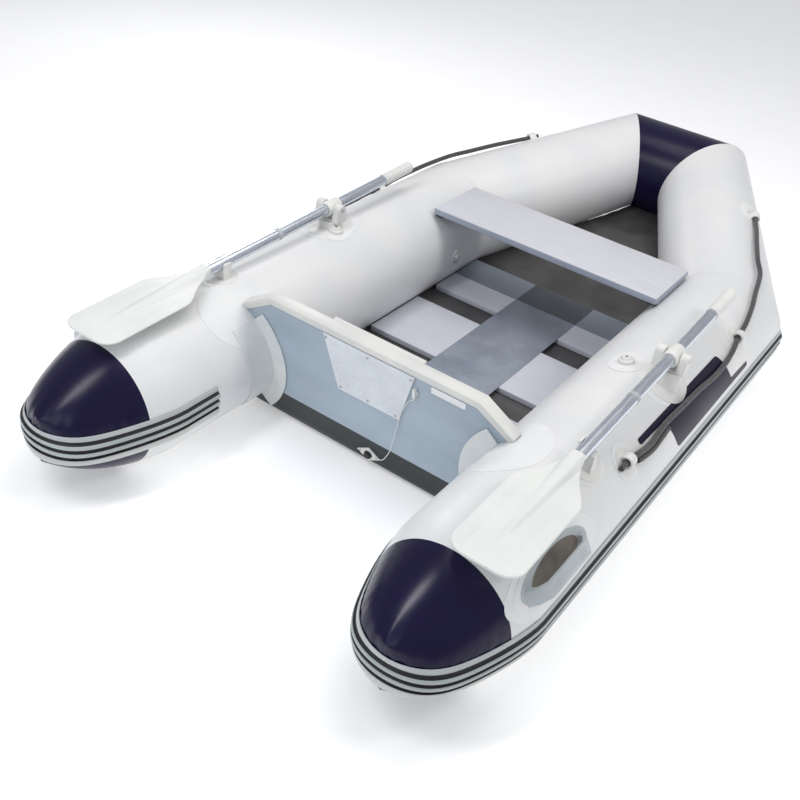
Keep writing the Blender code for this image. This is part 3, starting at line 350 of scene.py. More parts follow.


# The slot a finish goes in; the near-black painted shade has none of its own
slotOf = {
    "whiteFabric": "white_pvc", "patchFabric": "white_pvc", "holderFabric": "white_pvc",
    "navyFabric": "navy_pvc", "navyPanel": "navy_pvc", "bottomFabric": "grey_pvc", "ribRubber": "strake",
    "creamPlastic": "cream_plastic", "padPlastic": "cream_plastic",
    "whitePlastic": "white_plastic", "bladePlastic": "white_plastic",
    "greyPlastic": "grey_plastic", "handlePlastic": "grey_plastic", "hollowBrown": "grey_plastic",
    "slateStrip": "strip", "slateSquare": "strip", "slatBoard": "slat_plywood", "slatForward": "slat_plywood",
    "transomPaint": "painted_plywood", "thwartBoard": "thwart_plywood",
    "aluminium": "aluminium", "steel": "stainless", "braidedLine": "line",
}


def makePiece(name, bm, materials, body="hull", stands=(), crease=35, slotName=None, recalc=True):
    if recalc:
        bmesh.ops.recalc_face_normals(bm, faces=bm.faces)
    mesh = bpy.data.meshes.new(name)
    bm.to_mesh(mesh)
    bm.free()
    return placeMesh(name, mesh, materials, body, stands, crease, slotName)


def placeMesh(name, mesh, materials, body="hull", stands=(), crease=35, slotName=None):
    if len(mesh.materials):
        mesh.materials.clear()
    keys = [materials] if isinstance(materials, str) else materials
    for key in keys:
        mesh.materials.append(paint[key])
    mesh.shade_smooth()
    mesh.set_sharp_from_angle(angle=math.radians(crease))
    piece = addObject(name, mesh)
    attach(piece, body)
    if stands:
        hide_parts(*([stands] if isinstance(stands, str) else stands))
    slotName = slotName or slotOf.get(keys[0])
    return piece


def mergedCopy(node):
    bm = bmesh.new()
    bm.from_mesh(frame["nodes"][node].data)
    bmesh.ops.remove_doubles(bm, verts=bm.verts, dist=0.00003)
    bmesh.ops.dissolve_limit(bm, angle_limit=math.radians(1.0), verts=bm.verts, edges=bm.edges)
    return bm


def softenEdges(bm, edge, steps):
    limit = math.radians(50)
    rims = [e for e in bm.edges if len(e.link_faces) == 2 and e.calc_face_angle(0) > limit]
    bmesh.ops.bevel(
        bm, geom=rims, offset=edge, segments=steps, affect="EDGES", profile=0.5, clamp_overlap=True
    )


def refine(node, material, edge=0.0008, steps=2, crease=35, slotName=None):
    bm = mergedCopy(node)
    if edge:
        softenEdges(bm, edge, steps)
    return makePiece(node + "Finished", bm, material, bodyOf[node], node, crease, slotName)


def loft(bm, rows, slots=None, capped=True):
    made = [[bm.verts.new(point) for point in row] for row in rows]
    count = len(made[0])
    for low, high in zip(made, made[1:]):
        for i in range(count):
            j = (i + 1) % count
            face = bm.faces.new((low[i], low[j], high[j], high[i]))
            if slots:
                face.material_index = slots[i]
    if capped:
        bm.faces.new(made[0][::-1])
        bm.faces.new(made[-1])


# The shape of the tubes
def tubeSections(side):
    cornerX, cornerStation, cornerZ = hull["bowCorner"]
    kink = at(hull["kinkStation"], side * halfSpacing, tubeRadius)
    corner = at(cornerStation, side * cornerX, cornerZ)
    ahead = Vector((0, 1, 0))
    slant = (corner - kink).normalized()
    across = Vector((-side, 0, 0))
    return [
        (at(hull["taperStation"], side * halfSpacing, tubeRadius), ahead, ahead, tubeRadius),
        (kink, ahead, (ahead + slant).normalized(), tubeRadius),
        (corner, slant, (slant + across).normalized(), hull["bowRadius"]),
    ]


def spokes(section, side):
    along = section[1]
    out = Vector((along.y, -along.x, 0)).normalized() * side
    return out, out.cross(along) * side


def ringPoint(section, side, angle, extra=0.0):
    centre, along, mitre, radius = section
    out, up = spokes(section, side)
    a = math.radians(angle)
    spoke = (out * math.cos(a) + up * math.sin(a)) * (radius + extra)
    return centre + spoke - along * (spoke.dot(mitre) / along.dot(mitre))


def taperShare(station):
    return (hull["taperStation"] - station) / (hull["taperStation"] - hull["tipStation"])


def sternShape(share):
    wide = tubeRadius * (1 - hull["coneTaper"] * share ** 1.5) * math.sqrt(max(0.0, 1 - share ** 12))
    tall = tubeRadius - (tubeRadius - hull["tipHalfHeight"]) * share ** 2
    middle = tubeRadius + (hull["tipHeight"] - tubeRadius) * share ** 2
    return wide, tall, middle, hull["taperStation"] + (hull["tipStation"] - hull["taperStation"]) * share


def sternX(side, share):
    return side * (halfSpacing - hull["coneToe"] * share ** 2)


def sternPoint(side, share, angle, extra=0.0):
    wide, tall, middle, station = sternShape(share)
    a = math.radians(angle)
    x = sternX(side, share) + side * (wide + extra) * math.cos(a)
    return at(station, x, middle + (tall + extra) * math.sin(a))


def tubePoint(side, station, angle, off=0.0):
    if station < hull["taperStation"]:
        return sternPoint(side, taperShare(station), angle, off)
    a = math.radians(angle)
    reach = tubeRadius + off
    x = side * (halfSpacing + reach * math.cos(a))
    return at(station, x, tubeRadius + reach * math.sin(a))


def slantPoint(side, share, angle, off=0.0):
    sections = tubeSections(side)
    return ringPoint(sections[1], side, angle, off).lerp(ringPoint(sections[2], side, angle, off), share)


angles = [i * 360 / hull["sides"] for i in range(hull["sides"])]
lap = {"wide": 0.018, "share": 0.022, "lift": 0.0005}


def sideTube(word):
    side = sideOf[word]
    seam = taperShare(hull["seamStation"])
    sections = tubeSections(side)
    rows = [[sternPoint(side, seam * (1 - i / 6), a) for a in angles] for i in range(6)]
    first, last = [[ringPoint(section, side, a) for a in angles] for section in sections[:2]]
    for i in range(22):
        rows.append([p.lerp(q, i / 22) for p, q in zip(first, last)])
    rows += [[slantPoint(side, i / 14, a) for a in angles] for i in range(14)]
    rows.append([slantPoint(side, 0.9995, a) for a in angles])
    bm = bmesh.new()
    loft(bm, rows)
    makePiece(word + "WhiteTube", bm, "whiteFabric", "hull", word + "_side_tube", 24)

    # a lap seam where the straight tube is welded to the slanting one
    bm = bmesh.new()
    lift = lap["lift"]
    rows = []
    for off, shift in ((-lift, lap["wide"]), (lift, lap["wide"] - 0.0004), (lift, 0.0)):
        rows.append([ringPoint(sections[1], side, a, off) - sections[1][1] * shift for a in angles])
    rows += [[slantPoint(side, lap["share"], a, off) for a in angles] for off in (lift, -lift)]
    loft(bm, rows)
    makePiece(word + "KinkSeam", bm, "whiteFabric", "hull", (), 24)


pleats = {"count": 78, "depth": 0.0022, "reach": 0.075, "rise": 0.040, "blunt": 0.72, "points": 300}


def sternCone(word):
    side = sideOf[word]
    seam = taperShare(hull["seamStation"])
    count = pleats["points"]
    blunt = pleats["blunt"]
    shares = [seam + (blunt - seam) * i / 14 for i in range(14)]
    start = math.asin(blunt ** 6)
    shares += [math.sin(start + (math.radians(89.6) - start) * i / 30) ** (1 / 6) for i in range(31)]
    centre = at(-0.36, side * halfSpacing, 0)
    rows = []
    for number, share in enumerate(shares):
        row = []
        for i in range(count):
            point = sternPoint(side, share, i * 360 / count)
            if number and number < len(shares) - 1:
                ray = Vector((point.x - centre.x, point.y - centre.y))
                turn = math.atan2(ray.x * side, -ray.y)
                height = point.z - tubeRadius - pleats["rise"]
                fade = max(0.0, 1 - abs(height) / pleats["reach"]) ** 1.6
                aft = max(0.0, math.cos(turn * 0.85)) ** 0.7 if abs(turn) < 1.84 else 0.0
                wave = 0.5 + 0.5 * math.cos(turn * pleats["count"] / 2 + 1.3 * math.sin(turn * 9))
                uneven = 0.65 + 0.6 * roughness3d.noise(Vector((turn * 7, side * 3.1, 0.4)))
                middle = Vector((centre.x, centre.y, sternShape(share)[2]))
                point = point - (point - middle).normalized() * (pleats["depth"] * fade * aft * wave * uneven)
            row.append(point)
        rows.append(row)
    bm = bmesh.new()
    loft(bm, rows)
    makePiece(word + "NavyCone", bm, "navyFabric", "hull", word + "_stern_cone", 40)


def bowTube():
    sections = []
    for side in (1, -1):
        centre, along, mitre, radius = tubeSections(side)[2]
        sections.append((centre, Vector((-1, 0, 0)), mitre, radius))
    ends = [[ringPoint(section, 1, a) for a in angles] for section in sections]
    rows = [[p.lerp(q, 0.001 + 0.998 * i / 18) for p, q in zip(*ends)] for i in range(19)]
    bm = bmesh.new()
    loft(bm, rows)
    makePiece("navyBow", bm, "navyFabric", "hull", "bow_tube", 24)


# Rub strake: (share of its half height, stand-off in mm, finish of the face above it)
strake = {
    "drop": 0.010,
    "half": 0.0425,
    "innerEnd": -0.190,
    "wrapFrom": 0.66,
    "fit": 0.0006,
    "profile": [
        (-1.0, 3.0, 1), (-0.97, 5.4, 1), (-0.93, 7.2, 1), (-0.88, 8.3, 1), (-0.80, 9.3, 1),
        (-0.68, 10.0, 1), (-0.55, 10.0, 1), (-0.49, 9.6, 1), (-0.445, 8.4, 2), (-0.41, 4.6, 2),
        (-0.36, 4.0, 2), (-0.28, 4.0, 2),
        (-0.235, 4.8, 2), (-0.20, 8.4, 0), (-0.16, 9.7, 0), (-0.10, 10.0, 0), (-0.02, 9.9, 0), (0.04, 9.6, 0),
        (0.075, 8.4, 2), (0.11, 4.8, 2), (0.16, 4.0, 2), (0.24, 4.0, 2), (0.285, 4.8, 2), (0.32, 8.4, 0),
        (0.36, 9.7, 0), (0.46, 10.0, 0), (0.53, 9.5, 0), (0.575, 8.2, 2), (0.62, 4.6, 2), (0.68, 3.6, 2),
        (0.75, 3.4, 3), (0.85, 3.2, 3), (0.97, 3.0, 3), (1.0, 2.4, 3),
    ],
}


def strakeProfile():
    half, drop = strake["half"], strake["drop"]
    front = [(share * half - drop, out / 1000) for share, out, finish in strake["profile"]]
    back = [(half - 2 * half * i / 10 - drop, strake["fit"]) for i in range(11)]
    slots = [row[2] for row in strake["profile"]] + [0] * 11
    return front + back, slots


def strakeOnSlant(side, share):
    kink, corner = tubeSections(side)[1:]
    bow = (corner[0], Vector((-side, 0, 0)), corner[2], corner[3])
    outward, upward = spokes(corner, side)
    points = []
    for height, out in strakeProfile()[0]:
        spoke = ringPoint(bow, side, math.degrees(math.asin(height / hull["bowRadius"]))) - corner[0]
        last = math.degrees(math.atan2(spoke.dot(upward), spoke.dot(outward)))
        first = math.degrees(math.asin(height / kink[3]))
        angle = first + (last - first) * share
        points.append(ringPoint(kink, side, angle, out).lerp(ringPoint(corner, side, angle, out), share))
    return points


def strakeOnStern(side, share, flank, shift=0.0):
    wide, tall, middle, station = sternShape(share)
    here = sternX(side, share)
    away = Vector((0, -1, 0))
    if share < 0.99999:
        step = 0.00001
        ahead = sternShape(share + step)
        run = Vector((sternX(side, share + step) + side * flank * ahead[0], ahead[3], 0))
        run -= Vector((here + side * flank * wide, station, 0))
        away = Vector((-run.y, run.x, 0)).normalized() * side * flank
    points = []
    for height, out in strakeProfile()[0]:
        across = wide * math.sqrt(1 - ((tubeRadius + height - middle) / tall) ** 2)
        base = at(station + shift, here + side * flank * across, tubeRadius + height)
        points.append(base + away * max(out, 0.0012))
    return points


def rubStrake(word):
    side = sideOf[word]
    start = strake["wrapFrom"]
    lowest = math.asin(start ** 6)
    wraps = [start * i / 8 for i in range(8)]
    wraps += [math.sin(lowest + (math.pi / 2 - lowest) * i / 26) ** (1 / 6) for i in range(27)]
    rows = [strakeOnStern(side, 0.0, -1, strake["innerEnd"] - hull["taperStation"])]
    rows += [strakeOnStern(side, share, -1) for share in wraps]
    rows += [strakeOnStern(side, share, 1) for share in reversed(wraps[:-1])]
    rows += [strakeOnSlant(side, i / 10) for i in range(11)]
    bow = tubeSections(side)[2]
    middle = at(hull["bowCorner"][1], 0, hull["bowCorner"][2])
    section = (middle, Vector((-side, 0, 0)), Vector((1, 0, 0)), bow[3])
    gap = Vector((side * 0.00015, 0, 0))  # the two halves don't quite touch
    last = []
    for height, out in strakeProfile()[0]:
        last.append(ringPoint(section, side, math.degrees(math.asin(height / bow[3])), out) + gap)
    rows.append(last)
    bm = bmesh.new()
    loft(bm, rows, strakeProfile()[1])
    rubbers = ["ribRubber", "creamRubber", "grooveRubber", "bandRubber"]
    makePiece(word + "RubStrake", bm, rubbers, "hull", word + "_rub_strake", 50)


# Flat cut shapes glued round a tube: the outline is in (station, distance round the tube)
def cutEvery(bm, axis, step, places):
    low, high = min(places), max(places)
    for k in range(1, int((high - low) / step) + 1):
        spot, facing = [0, 0, 0], [0, 0, 0]
        spot[axis], facing[axis] = low + k * step, 1
        geometry = bm.verts[:] + bm.edges[:] + bm.faces[:]
        bmesh.ops.bisect_plane(bm, geom=geometry, plane_co=spot, plane_no=facing, dist=1e-6)


def wrapPatch(name, outline, place, material, thick=0.0009, base=-0.0012):
    bm = bmesh.new()
    bm.faces.new([bm.verts.new((u, v, 0)) for u, v in outline])
    for axis, step in ((0, 0.04), (1, 0.005)):
        cutEvery(bm, axis, step, [p[axis] for p in outline])
    lower = bm.verts[:]
    raised = bmesh.ops.extrude_face_region(bm, geom=bm.faces[:])["geom"]
    upper = [part for part in raised if isinstance(part, bmesh.types.BMVert)]
    for vert in lower:
        vert.co.z = base
    for vert in upper:
        vert.co.z = thick
    for vert in bm.verts:
        vert.co = place(*vert.co)
    bmesh.ops.triangulate(bm, faces=[f for f in bm.faces if len(f.verts) > 4])
    return makePiece(name, bm, material, "hull", (), 30)


def onTube(side):
    def place(u, v, w):
        return tubePoint(side, u, math.degrees(v / tubeRadius), w)
    return place


def roundCorners(points, radius, steps=5):
    found = []
    for i, corner in enumerate(points):
        here = Vector(corner)
        before = (Vector(points[i - 1]) - here)
        after = (Vector(points[(i + 1) % len(points)]) - here)
        cut = min(radius, 0.45 * before.length, 0.45 * after.length)
        a, b = here + before.normalized() * cut, here + after.normalized() * cut
        for k in range(steps + 1):
            t = k / steps
            found.append(tuple(a * (1 - t) ** 2 + here * (2 * t * (1 - t)) + b * t ** 2))
    return found


def rectangle(low, high):
    return [low, (high[0], low[1]), high, (low[0], high[1])]


def oval(u, v, halfU, halfV, count=48):
    turn = 2 * math.pi / count
    return [(u + halfU * math.cos(i * turn), v + halfV * math.sin(i * turn)) for i in range(count)]


def arcLength(angle):
    return math.radians(angle) * tubeRadius


sidePanel = [
    (0.220, 51.2), (0.713, 50.3), (0.727, 43.1), (0.737, 36.8), (0.7545, 22.6), (0.876, 21.6),
    (0.876, 17.4), (0.387, 16.7), (0.362, 36.0), (0.348, 45.4), (0.220, 46.2),
]


# Patches glued to each side: station, angle round the tube, half length, half width
patches = {
    "Rowlock": (0.465, None, 0.100, 0.068),
    "Clip": (0.022, None, 0.062, 0.050),
    "AftEye": (0.140, 46.3, 0.046, 0.046),
    "MiddleEye": (0.858, 47.1, 0.046, 0.046),
    "Handle": (-0.225, 32, 0.172, 0.074),
    "Holder": (-0.030, 122, 0.115, 0.100),
}
forwardEye = {"share": 0.50, "angle": 55, "half": 0.046, "shareLength": 0.75, "radius": 0.166}


def tubePatches(word):
    side = sideOf[word]
    outline = roundCorners([(u, arcLength(a)) for u, a in sidePanel], 0.010)
    wrapPatch(word + "SidePanel", outline, onTube(side), "navyPanel", 0.0012)
    oarAngle = 90 - math.degrees(math.asin((oarLook["x"][word] - halfSpacing) / tubeRadius))
    for label, (station, angle, halfLong, halfWide) in patches.items():
        turn = oarAngle if angle is None else angle  # under the oar, wherever it lies
        outline = oval(station, arcLength(turn), halfLong, halfWide)
        wrapPatch(word + label + "Patch", outline, onTube(side), "patchFabric")

    def slanted(u, v, w):
        return slantPoint(side, u, math.degrees(v / forwardEye["radius"]), w)

    share, half = forwardEye["share"], forwardEye["half"]
    spots = oval(share, math.radians(forwardEye["angle"]) * forwardEye["radius"], half, half)
    eye = [(share + (u - share) / forwardEye["shareLength"], v) for u, v in spots]
    wrapPatch(word + "ForwardEyePatch", eye, slanted, "patchFabric")


for word in sideOf:
    sideTube(word)
    sternCone(word)
    rubStrake(word)
    tubePatches(word)
bowTube()
print("stage: tubes, cones, strakes and patches")


# Transom
transomLook = {"rake": math.atan(0.1638), "aft": 0.0433, "footHeight": 0.0152, "topHeight": 0.388}


def transomPoint(x, height, out):
    rake = transomLook["rake"]
    up = (height - transomLook["footHeight"]) / math.cos(rake)
    foot = at(transomLook["aft"] - math.tan(rake) * transomLook["footHeight"], 0, transomLook["footHeight"])
    upward = Vector((0, -math.sin(rake), math.cos(rake)))
    backward = Vector((0, -math.cos(rake), -math.sin(rake)))
    return foot + Vector((x, 0, 0)) + upward * up + backward * out


def studTree(name):
    tree = bpy.data.node_groups.new(name, "GeometryNodeTree")
    face = tree.interface
    face.new_socket("Geometry", in_out="OUTPUT", socket_type="NodeSocketGeometry")
    face.new_socket("Geometry", in_out="INPUT", socket_type="NodeSocketGeometry")
    face.new_socket("Width", in_out="INPUT", socket_type="NodeSocketFloat")
    face.new_socket("Height", in_out="INPUT", socket_type="NodeSocketFloat")
    face.new_socket("Sides", in_out="INPUT", socket_type="NodeSocketInt")
    face.new_socket("Finish", in_out="INPUT", socket_type="NodeSocketMaterial")
    start = tree.nodes.new("NodeGroupInput")
    ball = tree.nodes.new("GeometryNodeMeshUVSphere")
    ball.inputs["Rings"].default_value = 6
    ball.inputs["Radius"].default_value = 1.0
    size = tree.nodes.new("ShaderNodeCombineXYZ")
    facing = tree.nodes.new("GeometryNodeInputNamedAttribute")
    facing.data_type = "FLOAT_VECTOR"
    facing.inputs["Name"].default_value = "facing"
    align = tree.nodes.new("FunctionNodeAlignRotationToVector")
    align.axis = "Z"
    spread = tree.nodes.new("GeometryNodeInstanceOnPoints")
    real = tree.nodes.new("GeometryNodeRealizeInstances")
    finish = tree.nodes.new("GeometryNodeSetMaterial")
    end = tree.nodes.new("NodeGroupOutput")
    for a, b in (
        (start.outputs["Geometry"], spread.inputs["Points"]),
        (start.outputs["Sides"], ball.inputs["Segments"]),
        (ball.outputs["Mesh"], spread.inputs["Instance"]),
        (facing.outputs["Attribute"], align.inputs["Vector"]),
        (align.outputs["Rotation"], spread.inputs["Rotation"]),
        (start.outputs["Width"], size.inputs["X"]),
        (start.outputs["Width"], size.inputs["Y"]),
        (start.outputs["Height"], size.inputs["Z"]),
        (size.outputs["Vector"], spread.inputs["Scale"]),
        (spread.outputs["Instances"], real.inputs["Geometry"]),
        (real.outputs["Geometry"], finish.inputs["Geometry"]),
        (start.outputs["Finish"], finish.inputs["Material"]),
        (finish.outputs["Geometry"], end.inputs["Geometry"]),
    ):
        tree.links.new(a, b)
    return tree


studs = studTree("studsOnPoints")


def addStuds(name, spots, width, height, material, sides=10):
    mesh = bpy.data.meshes.new(name + "Spots")
    mesh.from_pydata([point for point, facing in spots], [], [])
    facing = mesh.attributes.new("facing", "FLOAT_VECTOR", "POINT")
    for i, (point, direction) in enumerate(spots):
        facing.data[i].vector = direction
    holder = addObject(name + "Spots", mesh)
    maker = holder.modifiers.new("Studs", "NODES")
    maker.node_group = studs
    given = {"Width": width, "Height": height, "Sides": sides, "Finish": paint[material]}
    for socket in studs.interface.items_tree:
        if socket.in_out == "INPUT" and socket.name in given:
            maker[socket.identifier] = given[socket.name]
    bpy.context.view_layer.update()
    graph = bpy.context.evaluated_depsgraph_get()
    made = bpy.data.meshes.new_from_object(holder.evaluated_get(graph))
    bpy.data.objects.remove(holder, do_unlink=True)
    return placeMesh(name, made, material, "hull", (), 50)


plate = {"from": (0.178, 0.350), "to": (0.271, 0.369), "corner": 0.002, "thick": 0.0013}
drainScrews = {"half": 0.026, "height": 0.040, "out": 0.0045}
pad = {"topHalf": 0.1337, "footHalf": 0.0923, "top": 0.372, "foot": 0.216, "thick": 0.0053, "pitch": 0.0068}


def transomParts():
    refine("transom_board", "transomPaint", 0.0010)
    refine("transom_top_trim", "creamPlastic", 0.0008)
    refine("outer_motor_pad", "padPlastic", 0.0012)
    refine("inner_motor_pad", "creamPlastic", 0.0020, 3)
    back = Vector((0, -math.cos(transomLook["rake"]), -math.sin(transomLook["rake"])))
    dots = []
    rows = int((pad["top"] - pad["foot"] - 0.020) / (pad["pitch"] * 0.866))
    for row in range(rows + 1):
        height = pad["foot"] + 0.010 + row * pad["pitch"] * 0.866
        share = (height - pad["foot"]) / (pad["top"] - pad["foot"])
        half = pad["footHalf"] + (pad["topHalf"] - pad["footHalf"]) * share - 0.011
        count = int(half / pad["pitch"])
        for k in range(-count, count + 1):
            x = (k + 0.5 * (row % 2)) * pad["pitch"]
            if abs(x) <= half:
                dots.append((transomPoint(x, height, pad["thick"]), back))
    addStuds("padDimples", dots, 0.0021, 0.0011, "padPlastic", 8)
    screws = []
    for height, share in ((pad["top"] - 0.009, 0.94), (pad["foot"] + 0.010, 0.94)):
        half = (pad["topHalf"] if height > 0.3 else pad["footHalf"]) - 0.009
        for x in (-half, 0, half):
            screws.append((transomPoint(x, height, pad["thick"] + 0.0002), back))
    for x in (-drainScrews["half"], drainScrews["half"]):
        screws.append((transomPoint(x, drainScrews["height"], drainScrews["out"]), back))
    addStuds("padScrews", screws, 0.0042, 0.0016, "steel", 16)
    # painted shade: near-black dots on the screw heads stand for their shaded slots
    addStuds("screwSlotShade", [(p + back * 0.0013, d) for p, d in screws], 0.0018, 0.0006, "darkGap", 8)

    # a blank plate where a capacity plate goes
    bm = bmesh.new()
    outline = roundCorners(rectangle(plate["from"], plate["to"]), plate["corner"])
    front = [transomPoint(x, z, plate["thick"]) for x, z in outline]
    rear = [p - back * 0.0012 for p in front]
    loft(bm, [rear, front])
    makePiece("capacityPlate", bm, "steel", "hull", (), 30)

    refine("drain_flange", "whitePlastic", 0.0010)
    # the drain plug is white plastic but painted near-black: painted shade
    refine("drain_plug", "darkGap", 0.0, slotName="white_plastic")
    refine("lanyard_cleat", "whitePlastic", 0.0008)


def transomHolder(word):
    side = sideOf[word]
    near = tubeRadius + 0.0009
    wide, thick, skirt, sheet = 0.044, 0.004, 0.085, 0.0022
    section = [
        (near, 0.0),
        (near + wide - 0.001, 0.0), (near + wide, -0.001),
        (near + wide, -thick + 0.001), (near + wide - 0.001, -thick),
        (near + sheet + 0.003, -thick), (near + sheet + 0.0008, -thick - 0.0008),
        (near + sheet, -thick - 0.003), (near + sheet, -skirt + 0.0008),
        (near + sheet - 0.0008, -skirt), (near, -skirt),
    ]
    rows = []
    steps = 44
    for i in range(steps + 1):
        angle = math.radians(135 + 90 * i / steps)
        row = []
        for reach, back in section:
            x = side * (halfSpacing + reach * math.cos(angle))
            z = tubeRadius + reach * math.sin(angle)
            row.append(at(transomLook["aft"] - math.tan(transomLook["rake"]) * z - 0.0006 + back, x, z))
        rows.append(row)
    bm = bmesh.new()
    loft(bm, rows)
    makePiece(word + "TransomHolder", bm, "holderFabric", "hull", word + "_transom_holder", 40)


transomParts()
for word in sideOf:
    transomHolder(word)
print("stage: transom")


# Floor and thwart
slats = {"aft": (0.140, 0.392), "middle": (0.4988, 0.7488), "forward": (0.8533, 1.1050)}


bottomLook = {"cell": 0.010, "fold": 0.0042, "fade": 0.03, "widen": 1.018, "stretch": 0.012}


def hullBottom():
    bm = mergedCopy("hull_bottom")
    for axis in (0, 1):
        cutEvery(bm, axis, bottomLook["cell"], [v.co[axis] for v in bm.verts])
    bmesh.ops.triangulate(bm, faces=bm.faces)
    edges = [-1.0, *slats["aft"], *slats["middle"], *slats["forward"], 2.0]
    gaps = list(zip(edges[::2], edges[1::2]))  # the fabric is folded where no slat presses on it
    for vert in bm.verts:
        station = vert.co.y - stationShift
        room = 0.0
        for low, high in gaps:
            inside = min((station - low) / bottomLook["fade"], (high - station) / bottomLook["fade"], 1.0)
            room = max(room, inside)
        if room > 0:
            spot = Vector((vert.co.x * 5.0, vert.co.y * 16.0, 0.3))
            folds = roughness3d.noise(spot) + 0.5 * roughness3d.noise(spot * 2.3)
            vert.co.z += room * bottomLook["fold"] * (folds + 0.35)
    for vert in bm.verts:
        vert.co.x *= bottomLook["widen"]
        vert.co.y += bottomLook["stretch"] * max(0.0, (vert.co.y - stationShift - 1.2) / 0.5)
    makePiece("wrinkledBottom", bm, "bottomFabric", "hull", "hull_bottom", 60)


# The darker half of the forward slat is a coat of non-slip paint, with a square of strip over it; the
# square's colour is a darker copy of the strip's, painted shade under the thwart
coat = {"from": 0.9664, "to": 1.1030, "half": 0.3437, "bottom": 0.0668, "top": 0.0674}
square = {"half": 0.1077, "margin": 0.002, "corner": 0.003, "bottom": 0.0672, "top": 0.0680}


def flatPiece(name, outline, look, material):
    bm = bmesh.new()
    loft(bm, [[at(y, x, look[level]) for x, y in outline] for level in ("bottom", "top")])
    makePiece(name, bm, material)


def floorParts():
    for word in slats:
        refine("floor_slat_" + word, "slatBoard", 0.0022, 3)
    refine("floor_centre_strip", "slateStrip", 0.0006)
    outline = rectangle((-coat["half"], coat["from"]), (coat["half"], coat["to"]))
    flatPiece("forwardPaint", outline, coat, "slatForward")
    # the square's darker colour is painted shade under the thwart
    low, high = coat["from"] + square["margin"], coat["to"] - square["margin"]
    outline = roundCorners(rectangle((-square["half"], low), (square["half"], high)), square["corner"])
    flatPiece("forwardSquare", outline, square, "slateSquare")


thwartLook = {"topAbove": 0.33, "feetBelow": 0.3185}


def thwartParts():
    bm = mergedCopy("thwart")
    # faces below feetBelow, under the board's ends, take the near-black painted shade
    for face in bm.faces:
        middle = face.calc_center_median()
        if face.normal.z > 0.9 and middle.z > thwartLook["topAbove"]:
            face.material_index = 0
        elif middle.z < thwartLook["feetBelow"]:
            face.material_index = 2
        else:
            face.material_index = 1
    boards = ["thwartBoard", "boardEdge", "darkGap"]
    makePiece("thwartBoardFinished", bm, boards, "thwart", "thwart", 30, None, False)


# Oars: local Y runs up the shaft to the grip


def oarPlace(word):
    spot = at(oarLook["station"], sideOf[word] * oarLook["x"][word], oarLook["height"])
    return Matrix.Translation(spot) @ Matrix.Rotation(oarLook["slope"], 4, "X")


# The blade's shoulders: station, half width as a share of the widest
bladeShoulders = [
    (-0.848, 1.0), (-0.640, 1.0), (-0.628, 0.965), (-0.612, 0.86), (-0.585, 0.64),
    (-0.555, 0.43), (-0.530, 0.30), (-0.508, 0.016 / 0.079), (-0.498, 0.016 / 0.079),
]
bladeRidge = {"height": 0.0011, "across": 0.58, "width": 0.005, "from": -0.60, "to": -0.875}


def bladeHalf(y):
    half, corner = oarLook["half"], oarLook["corner"]
    if y < oarLook["end"] + corner:
        down = min(corner, oarLook["end"] + corner - y)
        return half - corner + math.sqrt(max(0.0, corner ** 2 - down ** 2))
    for (a, wide), (b, narrow) in zip(bladeShoulders, bladeShoulders[1:]):
        if y <= b:
            t = max(0.0, (y - a) / (b - a))
            return half * (wide + (narrow - wide) * t)
    return half * bladeShoulders[-1][1]


def bladePiece(word):
    place = oarPlace(word)
    count, length = 56, 76
    start = oarLook["socket"] + 0.0003
    rows = []
    for i in range(length + 1):
        share = i / length
        if share >= 0.9:  # rows crowd together toward the rounded end
            share = 0.9 + 0.1 * math.sin((share - 0.9) * 5 * math.pi)
        y = start + (oarLook["end"] - start) * share
        half = bladeHalf(y)
        along = (y - oarLook["socket"]) / (oarLook["spineEnd"] - oarLook["socket"])
        spine = 0.017 - 0.01325 * along if along < 1 else 0.0
        fade = min(1.0, max(0.0, (bladeRidge["from"] - y) / 0.04))
        fade *= min(1.0, max(0.0, (y - bladeRidge["to"]) / 0.02))
        upper, lower = [], []
        for k in range(count + 1):
            x = -half * math.cos(math.pi * k / count)
            rim = min(1.0, (half - abs(x)) / 0.006)
            skin = oarLook["thick"] / 2 * (0.35 + 0.65 * math.sqrt(max(0.0, 1 - (1 - rim) ** 2)))
            aside = (abs(x) - bladeRidge["across"] * half) / bladeRidge["width"]
            ridge = bladeRidge["height"] * math.exp(-aside ** 2) * fade
            height = math.sqrt(max(0.0, spine ** 2 - x ** 2)) if spine > 0 else 0.0
            rib = 0.0
            if spine > 0:
                rib = (spine + 0.001) * math.exp(-(x / (spine * 1.35)) ** 4)
            body = max(skin + ridge, height, rib * 0.98)
            upper.append(place @ Vector((x, y, body)))
            lower.append(place @ Vector((x, y, -max(skin, height, rib * 0.9))))
        rows.append(lower + upper[::-1])
    bm = bmesh.new()
    loft(bm, rows)
    bmesh.ops.remove_doubles(bm, verts=bm.verts, dist=0.00002)
    makePiece(word + "Blade", bm, "bladePlastic", word + "_oar", word + "_oar_blade", 55)


def turnedPiece(name, profile, place, material, body, stands=(), steps=48, crease=35, slotName=None):
    bm = bmesh.new()
    turns = [2 * math.pi * i / steps for i in range(steps)]
    rows = []
    for radius, height in profile:
        reach = max(radius, 0.00001)
        rows.append([place @ Vector((reach * math.cos(a), reach * math.sin(a), height)) for a in turns])
    loft(bm, rows)
    bmesh.ops.remove_doubles(bm, verts=bm.verts, dist=0.00003)
    return makePiece(name, bm, material, body, stands, crease, slotName)


# Turned outlines: radius, place along the shaft (the band's radius is over the shaft's own)
jointBand = [(0.0001, -0.2353), (0.0011, -0.2345), (0.0011, -0.2225), (0.0001, -0.2217)]
gripLook = {
    "firstGroove": 0.262,
    "pitch": 0.0085,
    "grooves": 13,
    "radius": 0.0175,
    "grooveRadius": 0.0168,
    "foot": [(0.0, 0.248), (0.0162, 0.248), (0.0172, 0.2487), (0.0175, 0.250)],
    "end": [
        (0.0175, 0.3795), (0.0172, 0.3825), (0.0160, 0.3850), (0.0138, 0.3865), (0.0105, 0.387), (0.0, 0.387),
    ],
}


